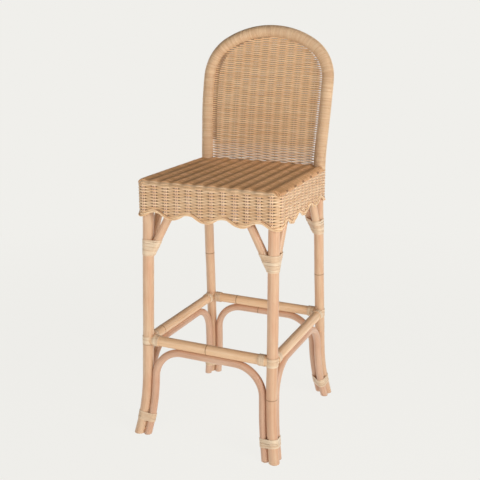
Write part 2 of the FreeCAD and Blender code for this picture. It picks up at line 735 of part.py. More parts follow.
# --- screws and nails ------------------------------------------------------------------------
def make_rail_screws(group, prefix, height, diameter):
    """One screw through each leg into each rail end, the two of a corner at two heights."""
    apart = SCREW_D * 1.25
    for row_name, row in ROWS.items():
        for side_name, side in SIDES.items():
            radius = leg_diameter(row) / 2
            length = 2 * radius + diameter
            for toward, lift, rail in (
                (V(-side, 0, 0), -apart, f"{prefix}_{row_name}"),
                (V(0, -row, 0), apart, f"{prefix}_{side_name}"),
            ):
                at = leg_corner(side, row, height + lift)
                drive(group, at - toward * (radius - GAP), toward, length, [leg_name(side, row), rail])


def make_brace_screws():
    apart = SCREW_D
    half_section = BRACE_D / 2 / math.cos(BRACE_SLOPE)
    for row_name, row in ROWS.items():
        for side_name, side in SIDES.items():
            for along_x in (True, False):
                brace = brace_name(side_name, row_name, along_x)
                toward = V(side, 0, 0) if along_x else V(0, row, 0)
                mid = sum(brace_binding_heights(row)) / 2 + BRACE_D / 4
                height = mid + (apart if along_x else -apart)
                toe = brace_point(side, row, along_x, height)
                head = toe - toward * (half_section - SCREW_HEAD_H - SCREW_SUNK)
                length = leg_diameter(row) + BRACE_D / 2 - SCREW_HEAD_H
                drive("brace_screws", head, toward, length, [brace, leg_name(side, row)])
                rail = seat_rail_behind(side_name, row_name, along_x)
                foot = brace_point(side, row, along_x, SEAT_RAIL_Z - SEAT_RAIL_D)
                drive("brace_screws", foot, V(0, 0, 1), SEAT_RAIL_D, [brace, rail])


def make_arch_screws():
    """Two screws up through each crown into its rail, and one through each standing side."""
    apart = SCREW_D * 1.25
    bottom = ARCH_CROWN_Z - ARCH_D / 2 + GAP
    for row_name, row in ROWS.items():
        for side_name, side in SIDES.items():
            at = leg_corner(side, row, ARCH_CROWN_Z)
            reach = leg_diameter(row) / 2 + ARCH_D + ARCH_BEND_R * 1.1
            across = V(at.x - side * reach, at.y, bottom)
            along = V(at.x, at.y - row * reach, bottom)
            up, length = V(0, 0, 1), ARCH_D + RAIL_D * 0.6
            drive("arch_screws", across, up, length, [f"lower_arch_{row_name}", f"footrest_rail_{row_name}"])
            drive("arch_screws", along, up, length, [f"lower_arch_{side_name}", f"footrest_rail_{side_name}"])
            beside = leg_diameter(row) / 2 + ARCH_GAP + ARCH_D
            for toward, lift, arch in (
                (V(side, 0, 0), apart, f"lower_arch_{row_name}"),
                (V(0, row, 0), -apart, f"lower_arch_{side_name}"),
            ):
                at, _ = axis_at(leg_edges(side, row), FLARE_HEIGHT + lift)
                head = at - toward * (beside - GAP)
                drive("arch_screws", head, toward, ARCH_D + LEG_D * 0.7, [arch, leg_name(side, row)])


def make_cane_nails():
    for index in range(CANES):
        for side_name, side in SIDES.items():
            share = (cane_y(index) - FRONT_Y) / (BACK_Y - FRONT_Y)
            x = side * (FRONT_X + (BACK_X - FRONT_X) * share)
            head = V(x, cane_y(index), CANE_Z + CANE_D / 2 - GAP)
            through = [f"seat_cane_{index + 1}", f"seat_rail_{side_name}"]
            drive("seat_cane_nails", head, V(0, 0, -1), CANE_D * 2.2, through, NAIL_D, NAIL_HEAD_D)


# --- the stool -------------------------------------------------------------------------------
def make_stool():
    make_legs()
    cutters = leg_cutters()
    make_ring_of_rails("footrest_rail", FOOTREST_HEIGHT, RAIL_D, cutters)
    make_ring_of_rails("seat_rail", SEAT_RAIL_Z, SEAT_RAIL_D, cutters)
    make_lower_arches(cutters)
    make_braces(cutters)
    make_seat_canes()
    make_bindings(cutters)
    make_skirt()
    make_back()
    make_seat()
    make_rail_screws("rail_screws", "footrest_rail", FOOTREST_HEIGHT, RAIL_D)
    make_rail_screws("seat_rail_screws", "seat_rail", SEAT_RAIL_Z, SEAT_RAIL_D)
    make_brace_screws()
    make_arch_screws()
    make_cane_nails()
    for name, solids in groups.items():
        parts[name] = Part.makeCompound(solids)


def export():
    """Moves the stool so that its box stands on the origin, and writes one file per piece."""
    whole = FreeCAD.BoundBox()
    for shape in parts.values():
        whole.add(shape.optimalBoundingBox(False))
    shift = V(-whole.Center.x, -whole.Center.y, -whole.ZMin)
    os.makedirs("parts", exist_ok=True)
    for name, shape in parts.items():
        shape.translate(shift)
        shape.exportStep(f"parts/{name}.step")
        print(f"{name}: {len(shape.Solids)} solids, {shape.Volume / 1000:.2f} cm3")
    size = [round(v, 1) for v in (whole.XLength, whole.YLength, whole.ZLength)]
    print("overall", size, "moved by", [round(v, 2) for v in shift])


make_stool()
export()
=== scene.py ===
"""Looks of a woven rattan bar stool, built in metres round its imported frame.

The poles, bindings and woven skins are traced from the frame's own solids, then made again with
node rings, grain, single strands and wound strips. Nothing in the frame is moved.
"""

import logging
import math
from dataclasses import dataclass, field, replace
from enum import Enum
from functools import lru_cache

import bmesh
import bpy
import numpy as np
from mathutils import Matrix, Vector
from mathutils.bvhtree import BVHTree


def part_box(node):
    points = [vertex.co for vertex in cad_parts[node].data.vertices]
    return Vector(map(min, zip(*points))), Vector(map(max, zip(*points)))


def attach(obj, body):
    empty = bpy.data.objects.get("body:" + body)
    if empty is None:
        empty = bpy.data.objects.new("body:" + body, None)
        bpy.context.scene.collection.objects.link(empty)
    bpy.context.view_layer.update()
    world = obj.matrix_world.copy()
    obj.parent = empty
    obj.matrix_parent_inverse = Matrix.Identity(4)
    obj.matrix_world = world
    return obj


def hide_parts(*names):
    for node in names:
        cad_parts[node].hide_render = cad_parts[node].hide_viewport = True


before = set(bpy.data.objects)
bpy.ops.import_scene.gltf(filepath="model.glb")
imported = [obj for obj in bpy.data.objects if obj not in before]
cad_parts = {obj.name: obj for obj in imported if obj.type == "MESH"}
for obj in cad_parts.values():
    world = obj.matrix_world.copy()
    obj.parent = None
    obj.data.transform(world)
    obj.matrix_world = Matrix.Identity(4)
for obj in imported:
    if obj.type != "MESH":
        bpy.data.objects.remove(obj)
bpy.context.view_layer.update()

LOG = logging.getLogger("stool")
MM = 0.001
BODY = "root"
UP = np.array([0.0, 0.0, 1.0])
Point = tuple[float, float, float]
Pair = tuple[tuple[float, float], tuple[float, float]]
Colour = tuple[float, float, float]


class Side(Enum):
    """Left and right as seen from the front."""

    LEFT = -1
    RIGHT = 1


class Row(Enum):
    """Front and back legs."""

    FRONT = -1
    BACK = 1


class Slot(Enum):
    """Material slots of the record."""

    POLE = "rattan_pole"
    PEEL = "rattan_peel"
    REED = "woven_reed"
    STAKE = "reed_stake"
    BORDER = "reed_border"
    WRAP = "reed_wrap"


# ---- Node trees ----


class Wire:
    """A number socket used in arithmetic: each operation adds its Math node."""

    def __init__(self, graph: "Graph", socket: bpy.types.NodeSocket) -> None:
        """Keep the graph and the socket that gives the value."""
        self.graph = graph
        self.socket = socket

    def _math(self, operation: str, *values: object) -> "Wire":
        """Add one Math node.

        Args:
            operation: The Math node's operation.
            values: Its inputs in order, wires or numbers.

        Returns:
            The result.
        """
        inputs = dict(enumerate(values))
        return self.graph.add("ShaderNodeMath", {"operation": operation}, inputs)

    def __add__(self, other: object) -> "Wire":
        """Sum."""
        return self._math("ADD", self, other)

    __radd__ = __add__

    def __sub__(self, other: object) -> "Wire":
        """Difference."""
        return self._math("SUBTRACT", self, other)

    def __rsub__(self, other: object) -> "Wire":
        """Difference, reflected."""
        return self._math("SUBTRACT", other, self)

    def __mul__(self, other: object) -> "Wire":
        """Product."""
        return self._math("MULTIPLY", self, other)

    __rmul__ = __mul__

    def __pow__(self, other: object) -> "Wire":
        """Power."""
        return self._math("POWER", self, other)

    def cosine(self) -> "Wire":
        """Cosine."""
        return self._math("COSINE", self)

    def between(self, low: float, high: float) -> "Wire":
        """Share of the way from low to high, held to 0 and 1."""
        settings = {"clamp": True}
        inputs = {"Value": self, "From Min": low, "From Max": high}
        return self.graph.add("ShaderNodeMapRange", settings, inputs)


class Graph:
    """Adds nodes and links to one shader or geometry tree."""

    def __init__(self, tree: bpy.types.NodeTree) -> None:
        """Keep the tree."""
        self.tree = tree

    def node(self, kind: str, settings: dict | None = None,
             inputs: dict | None = None) -> bpy.types.Node:
        """Add any node.

        Args:
            kind: The node's type name.
            settings: Its properties, set first; "stops" fills a colour ramp.
            inputs: Values, wires or sockets, by input name or index.

        Returns:
            The node.
        """
        made = self.tree.nodes.new(kind)
        for name, value in (settings or {}).items():
            if name == "stops":
                self._fill_ramp(made.color_ramp, value)
            else:
                setattr(made, name, value)
        for key, value in (inputs or {}).items():
            socket = made.inputs[key]
            source = value.socket if isinstance(value, Wire) else value
            if isinstance(source, bpy.types.NodeSocket):
                self.tree.links.new(source, socket)
            else:
                socket.default_value = source
        return made

    @staticmethod
    def _fill_ramp(ramp: bpy.types.ColorRamp, stops: list[tuple[float, Colour]]) -> None:
        """Set a ramp's stops.

        Args:
            ramp: The ramp.
            stops: Its (place, colour) pairs.
        """
        while len(ramp.elements) < len(stops):
            ramp.elements.new(0.5)
        for element, (place, colour) in zip(ramp.elements, stops):
            element.position = place
            element.color = (*colour, 1.0)

    def add(self, kind: str, settings: dict | None = None, inputs: dict | None = None,
            out: str | int = 0) -> Wire:
        """Add any node and give one of its outputs as a wire.

        Args:
            kind: The node's type name.
            settings: Its properties.
            inputs: Its input values.
            out: The output's name or index.

        Returns:
            The output.
        """
        return Wire(self, self.node(kind, settings, inputs).outputs[out])

    def link(self, source: Wire, node: bpy.types.Node, name: str) -> None:
        """Link a wire to a node's input."""
        self.tree.links.new(source.socket, node.inputs[name])


# ---- Finishes ----


def new_material(name: str) -> tuple[bpy.types.Material, Graph, bpy.types.Node]:
    """Make a material with nodes.

    Args:
        name: The material's name.

    Returns:
        The material, its graph and its main shader.
    """
    material = bpy.data.materials.new(name)
    material.use_nodes = True
    return material, Graph(material.node_tree), material.node_tree.nodes["Principled BSDF"]


@dataclass(frozen=True)
class CaneFinish:
    """Peeled rattan in any thickness: grain along the strand, blotches, node rings and lacquer.

    Reads the piece's own attributes: grain (across, across, along, in metres), tone (one value for
    a strand), ring (1 at a node ring, and also where a shadow line or slit is painted) and depth (1 on
    top of the weave, -1 behind it), from which the colour gets painted shade behind the weave and in
    rib grooves.
    """

    name: str
    pale: Colour
    warm: Colour
    streak: Colour
    # ring colour: the brown of real node rings, also used as painted shadow for shadow lines and slits
    ring: Colour = (0.30, 0.135, 0.055)
    # the colour of the painted shade behind the weave and in rib grooves
    under: Colour = (0.10, 0.042, 0.018)
    fibre: float = 900.0        # fine fibres in a metre, across
    stretch: float = 22.0       # the same, along
    blotch: float = 40.0
    tone_spread: float = 0.18
    shade_under: float = 0.0    # strength of the painted shade that depth brings, behind the weave and in rib grooves
    roughness: float = 0.45
    coat: float = 0.25
    fibre_height: float = 0.00010
    speck: float = 0.35

    def material(self) -> bpy.types.Material:
        """Build the material.

        Returns:
            The material.
        """
        material, graph, shader = new_material(self.name)
        grain = graph.add("ShaderNodeAttribute", {"attribute_name": "grain"}, out="Vector")
        tone, ring, depth = (
            graph.add("ShaderNodeAttribute", {"attribute_name": name}, out="Fac")
            for name in ("tone", "ring", "depth"))
        offset = graph.add("ShaderNodeCombineXYZ", None, {0: tone * 7.3, 1: tone * 3.1, 2: tone * 11.7})
        start = graph.add("ShaderNodeVectorMath", {"operation": "ADD"}, {0: grain, 1: offset})

        def noise(across: float, along: float, detail: float) -> Wire:
            """Noise drawn out along the strand.

            Args:
                across: Scale across the strand.
                along: Scale along it.
                detail: Its octaves.

            Returns:
                The noise, about 0 to 1.
            """
            place = graph.add("ShaderNodeMapping", None,
                              {"Vector": start, "Scale": (across, across, along)})
            settings = {"noise_dimensions": "3D"}
            return graph.add("ShaderNodeTexNoise", settings,
                             {"Vector": place, "Scale": 1.0, "Detail": detail, "Roughness": 0.6})

        fibres = noise(self.fibre, self.stretch, 3.0)
        broad = noise(self.fibre * 0.22, self.stretch * 0.35, 2.0)
        blotches = noise(self.blotch, self.blotch * 0.4, 3.0)
        specks = noise(self.fibre * 0.9, self.stretch * 5.0, 1.0).between(0.66, 0.78)
        spread = (tone - 0.5) * self.tone_spread
        body = (blotches * 0.55 + broad * 0.45 + spread).between(0.33, 0.67)
        ramp = [(0.0, self.warm), (1.0, self.pale)]
        colour = graph.add("ShaderNodeValToRGB", {"stops": ramp}, {"Fac": body})

        def mixed(share: Wire, first: object, second: object) -> Wire:
            """Mix two colours by a share."""
            settings = {"data_type": "RGBA"}
            return graph.add("ShaderNodeMix", settings, {0: share, 6: first, 7: second}, out=2)

        streaks = fibres.between(0.50, 0.74) * 0.55 + specks * self.speck
        colour = mixed(streaks, colour, (*self.streak, 1.0))
        # node rings, and painted shadow lines and slits, by the ring attribute
        colour = mixed(ring.between(0.25, 0.9) * 0.85, colour, (*self.ring, 1.0))
        # painted shade: by depth, strands behind the weave and in rib grooves turn towards the shade
        # colour
        if self.shade_under > 0:
            under = (1.0 - depth.between(-0.75, 0.15)) * self.shade_under
            colour = mixed(under, colour, (*self.under, 1.0))
        graph.link(colour, shader, "Base Color")
        rough = fibres * 0.16 + blotches * 0.14 + (self.roughness - 0.15)
        graph.link(rough, shader, "Roughness")
        coat = blotches.between(0.3, 0.7) * self.coat
        graph.link(coat, shader, "Coat Weight")
        height = fibres * 0.7 + broad * 0.9 - specks * 0.5
        bump = graph.add("ShaderNodeBump", None,
                         {"Strength": 0.6, "Distance": self.fibre_height, "Height": height})
        graph.link(bump, shader, "Normal")
        shader.inputs["Coat Roughness"].default_value = 0.28
        shader.inputs["IOR"].default_value = 1.48
        return material


@dataclass(frozen=True)
class CutEndFinish:
    """A sawn pole end: open pores in pale pith, with darker blotches."""

    name: str = "rattan_cut_end"
    pith: Colour = (0.50, 0.33, 0.19)
    pore: Colour = (0.12, 0.06, 0.03)
    pores: float = 1100.0

    def material(self) -> bpy.types.Material:
        """Build the material.

        Returns:
            The material.
        """
        material, graph, shader = new_material(self.name)
        place = graph.add("ShaderNodeTexCoord", out="Object")
        cells = graph.add("ShaderNodeTexVoronoi", None, {"Vector": place, "Scale": self.pores})
        blots = graph.add("ShaderNodeTexNoise", None, {"Vector": place, "Scale": 160.0, "Detail": 3.0})
        holes = 1.0 - cells.between(0.18, 0.32)
        share = holes * 0.8 + blots.between(0.4, 0.75) * 0.3
        colour = graph.add("ShaderNodeValToRGB", {"stops": [(0.0, self.pith), (1.0, self.pore)]},
                           {"Fac": share})
        graph.link(colour, shader, "Base Color")
        graph.link(blots * 0.2 + 0.68, shader, "Roughness")
        bump = graph.add("ShaderNodeBump", None,
                         {"Strength": 0.7, "Distance": 0.0003, "Height": 1.0 - holes})
        graph.link(bump, shader, "Normal")
        return material


@dataclass(frozen=True)
class SteelFinish:
    """Zinc-plated screws and nails, a little dull and spotted."""

    name: str = "zinc_steel"
    bright: Colour = (0.62, 0.61, 0.58)
    dull: Colour = (0.30, 0.28, 0.25)

    def material(self) -> bpy.types.Material:
        """Build the material.

        Returns:
            The material.
        """
        material, graph, shader = new_material(self.name)
        place = graph.add("ShaderNodeTexCoord", out="Object")
        spots = graph.add("ShaderNodeTexNoise", None, {"Vector": place, "Scale": 900.0, "Detail": 4.0})
        share = spots.between(0.35, 0.7)
        colour = graph.add("ShaderNodeValToRGB", {"stops": [(0.0, self.bright), (1.0, self.dull)]},
                           {"Fac": share})
        graph.link(colour, shader, "Base Color")
        graph.link(share * 0.3 + 0.32, shader, "Roughness")
        shader.inputs["Metallic"].default_value = 1.0
        bump = graph.add("ShaderNodeBump", None, {"Strength": 0.3, "Distance": 0.00005, "Height": spots})
        graph.link(bump, shader, "Normal")
        return material


@dataclass(frozen=True)
class FloorFinish:
    """A pale studio floor that stays even to its far edge and keeps a soft shadow near the middle."""

    name: str = "studio_floor"
    colour: Colour = (0.871, 0.863, 0.831)
    matte: Colour = (0.05, 0.0495, 0.048)
    glow: float = 0.965         # share of the floor's brightness that no shadow takes away
    shadow_reach: float = 2.4   # beyond this radius the floor takes no shadow, metres

    def material(self) -> bpy.types.Material:
        """Build the material.

        Returns:
            The material.
        """
        material, graph, _ = new_material(self.name)
        place = graph.add("ShaderNodeTexCoord", out="Object")
        radius = graph.add("ShaderNodeVectorMath", {"operation": "LENGTH"}, {0: place}, out="Value")
        far = radius.between(self.shadow_reach * 0.4, self.shadow_reach)
        full = graph.add("ShaderNodeEmission", None, {"Color": (*self.colour, 1.0), "Strength": 1.0})
        part = graph.add("ShaderNodeEmission", None,
                         {"Color": (*self.colour, 1.0), "Strength": self.glow})
        matte = graph.add("ShaderNodeBsdfDiffuse", None, {"Color": (*self.matte, 1.0)})
        near = graph.add("ShaderNodeAddShader", None, {0: part, 1: matte})
        mixed = graph.add("ShaderNodeMixShader", None, {0: far, 1: near, 2: full})
        graph.link(mixed, material.node_tree.nodes["Material Output"], "Surface")
        return material


POLE = CaneFinish("rattan_pole", pale=(0.75, 0.515, 0.325), warm=(0.68, 0.38, 0.23),
                  streak=(0.47, 0.25, 0.12), fibre=620.0, stretch=9.0, blotch=28.0,
                  roughness=0.37, coat=0.5)
RAIL_POLE = replace(POLE, name="rail_pole", pale=(0.90, 0.62, 0.38), warm=(0.82, 0.51, 0.29),
                    streak=(0.50, 0.28, 0.13), blotch=24.0)
ARCH_POLE = replace(POLE, name="arch_pole", pale=(0.71, 0.45, 0.30), warm=(0.61, 0.33, 0.21),
                    streak=(0.42, 0.22, 0.11), fibre=700.0, stretch=11.0, blotch=24.0)
PEEL = CaneFinish("rattan_peel", pale=(0.82, 0.64, 0.45), warm=(0.72, 0.50, 0.32),
                  streak=(0.50, 0.31, 0.17), fibre=1100.0, stretch=16.0, blotch=45.0,
                  tone_spread=0.5, roughness=0.38, coat=0.4)
# the woven reeds below paint shade on strands behind the weave
REED = CaneFinish("woven_reed", pale=(0.93, 0.67, 0.42), warm=(0.80, 0.50, 0.27),
                  streak=(0.36, 0.19, 0.08), fibre=1900.0, stretch=35.0, blotch=30.0,
                  tone_spread=0.6, shade_under=1.0, fibre_height=0.00008)
SEAT_REED = replace(REED, name="seat_reed", pale=(0.90, 0.525, 0.275), warm=(0.72, 0.385, 0.17),
                    streak=(0.26, 0.12, 0.045), blotch=18.0, shade_under=0.6)
BACK_REED = replace(REED, name="back_reed", pale=(0.96, 0.69, 0.42), warm=(0.85, 0.53, 0.28),
                    tone_spread=0.5, shade_under=0.5)
SKIRT_STAKE = CaneFinish("skirt_stake", pale=(0.82, 0.585, 0.44), warm=(0.70, 0.465, 0.33),
                         streak=(0.46, 0.26, 0.14), fibre=1700.0, stretch=30.0, blotch=30.0,
                         tone_spread=0.4)
# a darker copy of the skirt stake's colours: painted shade for the stakes deep in the seat and back
# weaves
SHADED_STAKE_REED = replace(SKIRT_STAKE, name="stake_reed", pale=(0.60, 0.42, 0.29),
                     warm=(0.50, 0.31, 0.19), streak=(0.40, 0.22, 0.11))
WRAP_REED = CaneFinish("wrap_reed", pale=(0.84, 0.61, 0.39), warm=(0.74, 0.48, 0.28),
                       streak=(0.42, 0.24, 0.11), fibre=1500.0, stretch=30.0, blotch=26.0,
                       tone_spread=0.25, fibre_height=0.00008)


def pole_finish(name: str) -> CaneFinish:
    """Give a pole's finish by its name: the rails are golden, the thin arches browner."""
    if "rail" in name:
        return RAIL_POLE
    return ARCH_POLE if "arch" in name else POLE


@lru_cache(maxsize=None)
def material_of(finish: object) -> bpy.types.Material:
    """Give a finish's material, built once."""
    return finish.material()


# ---- Lines and axes ----


def unit(vector: np.ndarray) -> np.ndarray:
    """Vector of length one, or each row of an array."""
    return vector / np.maximum(np.linalg.norm(vector, axis=-1, keepdims=True), 1e-12)


def lengths_along(points: np.ndarray) -> np.ndarray:
    """Distance along a chain of points, for each point."""
    steps = np.linalg.norm(np.diff(points, axis=0), axis=1)
    return np.concatenate([[0.0], np.cumsum(steps)])


def at_lengths(points: np.ndarray, places: np.ndarray) -> np.ndarray:
    """Points at given distances along a chain."""
    along = lengths_along(points)
    return np.stack([np.interp(places, along, points[:, k]) for k in range(points.shape[1])], axis=1)


def evenly(points: np.ndarray, step: float) -> np.ndarray:
    """The chain again with about even steps."""
    total = lengths_along(points)[-1]
    count = max(2, int(round(total / step)) + 1)
    return at_lengths(points, np.linspace(0.0, total, count))


def wobble(places: np.ndarray, wave: float, seed: float) -> np.ndarray:
    """Smooth repeatable unevenness between about -1 and 1.

    Args:
        places: Distances along the strand.
        wave: Length of the longest wave.
        seed: Any number; another gives another unevenness.

    Returns:
        One value for each place.
    """
    draws = np.random.default_rng(int(abs(seed) * 1009) % 2**31).random(6)
    total = np.zeros_like(places, dtype=float)
    for k, share in enumerate((0.55, 0.3, 0.15)):
        turn = 2 * math.pi * places * (1.0, 2.3, 4.9)[k] / wave * (0.8 + 0.4 * draws[k])
        total += share * np.sin(turn + 2 * math.pi * draws[k + 3])
    return total


def tight_loop(circles: list[tuple[float, float, float]], count: int) -> np.ndarray:
    """Points of the line drawn tight round circles in a plane.

    Args:
        circles: (x, y, radius) of each circle.
        count: How many even points the loop gets.

    Returns:
        The loop's points, counter-clockwise, the first not repeated.
    """
    turns = np.linspace(0, 2 * math.pi, 96, endpoint=False)
    cloud = np.concatenate([
        np.stack([x + r * np.cos(turns), y + r * np.sin(turns)], axis=1) for x, y, r in circles])
    order = cloud[np.lexsort((cloud[:, 1], cloud[:, 0]))]

    def half(points: np.ndarray) -> list[np.ndarray]:
        """One half of the hull.

        Args:
            points: Points in order, from one end to the other.

        Returns:
            The half's corners without the last.
        """
        chain: list[np.ndarray] = []
        for p in points:
            while len(chain) > 1 and np.cross(chain[-1] - chain[-2], p - chain[-1]) <= 0:
                chain.pop()
            chain.append(p)
        return chain[:-1]

    hull = np.array(half(order) + half(order[::-1]))
    closed = np.concatenate([hull, hull[:1]])
    total = lengths_along(closed)[-1]
    return at_lengths(closed, np.linspace(0, total, count, endpoint=False))


@dataclass
class Lines:
    """Open and closed chains of points with attributes, kept until they become one line mesh."""

    points: list[np.ndarray] = field(default_factory=list)
    values: dict[str, list[np.ndarray]] = field(default_factory=dict)
    closed: list[bool] = field(default_factory=list)

    def add(self, points: np.ndarray, closed: bool = False, **values: object) -> None:
        """Add one chain.

        Args:
            points: Its points, in metres.
            closed: Whether its end joins its start.
            values: Attributes; a number, one number for each point, or one vector for each point.
        """
        count = len(points)
        self.points.append(points)
        self.closed.append(closed)
        for name, value in values.items():
            data = np.asarray(value, dtype=float)
            if data.ndim == 0:
                data = np.full(count, float(data))
            elif data.ndim == 1 and data.shape[0] == 3 and count != 3:
                data = np.tile(data, (count, 1))
            self.values.setdefault(name, []).append(data)

    def mesh(self, name: str) -> bpy.types.Mesh:
        """Make the line mesh.

        Args:
            name: The mesh's name.

        Returns:
            A mesh of vertices and edges with the attributes on its vertices.
        """
        edges = []
        start = 0
        for points, closed in zip(self.points, self.closed):
            count = len(points)
            edges += [(start + k, start + k + 1) for k in range(count - 1)]
            if closed:
                edges.append((start + count - 1, start))
            start += count
        mesh = bpy.data.meshes.new(name)
        mesh.from_pydata(np.concatenate(self.points).tolist(), edges, [])
        for label, chunks in self.values.items():
            data = np.concatenate(chunks)
            kind = "FLOAT" if data.ndim == 1 else "FLOAT_VECTOR"
            attribute = mesh.attributes.new(label, kind, "POINT")
            key = "value" if kind == "FLOAT" else "vector"
            attribute.data.foreach_set(key, data.astype(np.float32).ravel())
        return mesh


@dataclass
class Axis:
    """The middle line of a pole, as even points."""

    points: np.ndarray
    radius: float

    def at_height(self, height: float) -> tuple[np.ndarray, np.ndarray]:
        """Where a standing pole passes a height.

        Args:
            height: In metres above the floor.

        Returns:
            The point and the pole's upward direction there.
        """
        z = self.points[:, 2]
        k = int(np.argmax((z[:-1] - height) * (z[1:] - height) <= 0))
        share = (height - z[k]) / (z[k + 1] - z[k])
        ahead = unit(self.points[k + 1] - self.points[k])
        point = self.points[k] + share * (self.points[k + 1] - self.points[k])
        return point, ahead if ahead[2] > 0 else -ahead


class PoleTracer:
    """Finds a round pole's axis from its solid, by cutting across it step after step."""

    SEARCH = 1.5     # radii round the last centre where a cut's points are looked for
    FLOOR = 0.012    # a sloping cut this near the floor is not whole

    def __init__(self, node: str, radius: float) -> None:
        """Read the node's vertices and edges.

        Args:
            node: The CAD node.
            radius: The pole's radius.
        """
        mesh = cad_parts[node].data
        mesh.calc_loop_triangles()
        co = np.empty(len(mesh.vertices) * 3)
        mesh.vertices.foreach_get("co", co)
        corners = np.empty(len(mesh.loop_triangles) * 3, dtype=np.int64)
        mesh.loop_triangles.foreach_get("vertices", corners)
        triangles = corners.reshape(-1, 3)
        self.points = co.reshape(-1, 3)
        self.edges = np.concatenate([triangles[:, [0, 1]], triangles[:, [1, 2]], triangles[:, [2, 0]]])
        self.radius = radius

    def centre(self, at: np.ndarray, along: np.ndarray) -> np.ndarray | None:
        """Middle of the cut across the pole nearest to a point.

        Args:
            at: A point near the axis.
            along: The cut's normal.

        Returns:
            The middle, or None where the cut misses the pole.
        """
        heights = (self.points - at) @ along
        a, b = self.edges[:, 0], self.edges[:, 1]
        crossing = heights[a] * heights[b] < 0
        a, b = a[crossing], b[crossing]
        share = (heights[a] / (heights[a] - heights[b]))[:, None]
        hits = self.points[a] + share * (self.points[b] - self.points[a])
        hits = hits[np.linalg.norm(hits - at, axis=1) < self.SEARCH * self.radius]
        across = unit(np.cross(along, [0.0, 0.0, 1.0] if abs(along[2]) < 0.9 else [1.0, 0.0, 0.0]))
        beside = np.cross(along, across)
        middle = at
        for _ in range(3):
            distance = np.linalg.norm(hits - middle, axis=1)
            ring = hits[np.abs(distance - self.radius) < 0.35 * self.radius]
            if len(ring) < 8:
                return None
            u, v = (ring - at) @ across, (ring - at) @ beside
            rows = np.stack([2 * u, 2 * v, np.ones_like(u)], axis=1)
            found = np.linalg.lstsq(rows, u * u + v * v, rcond=None)[0]
            middle = at + found[0] * across + found[1] * beside
        return middle

    def follow(self, start: np.ndarray, along: np.ndarray, step: float = 0.008) -> np.ndarray:
        """Walk along a bent pole from one foot until it ends or nears the floor again.

        Args:
            start: A point near the axis at the first foot.
            along: The direction to set out in.
            step: Distance between cuts.

        Returns:
            Centres of the cuts.
        """
        found: list[np.ndarray] = []
        at = start + along * self.FLOOR
        while len(found) < 2000:
            middle = self.centre(at, along)
            if middle is None:
                break
            if found:
                along = unit(middle - found[-1])
            found.append(middle)
            at = middle + along * step
            if along[2] < 0 and at[2] < self.FLOOR:
                break
        return np.array(found)

    def foot(self, keep: np.ndarray) -> np.ndarray:
        """Middle of the foot among the lowest vertices that a mask keeps."""
        low = self.points[keep & (self.points[:, 2] < self.points[:, 2].min() + 2e-4)]
        return (low.min(0) + low.max(0)) / 2

    def straight(self) -> tuple[np.ndarray, np.ndarray]:
        """Find a straight pole's axis.

        Returns:
            Its two ends.
        """
        middle = (self.points.min(0) + self.points.max(0)) / 2
        offsets = self.points - self.points.mean(0)
        along = np.linalg.eigh(offsets.T @ offsets)[1][:, -1]
        reach = float(np.ptp(self.points @ along)) * 0.12
        centres = [self.centre(middle + along * s, along) for s in (-reach, reach)]
        along = unit(centres[1] - centres[0])
        places = (self.points - centres[0]) @ along
        return centres[0] + along * places.min(), centres[0] + along * places.max()


# ---- Geometry Nodes recipes ----


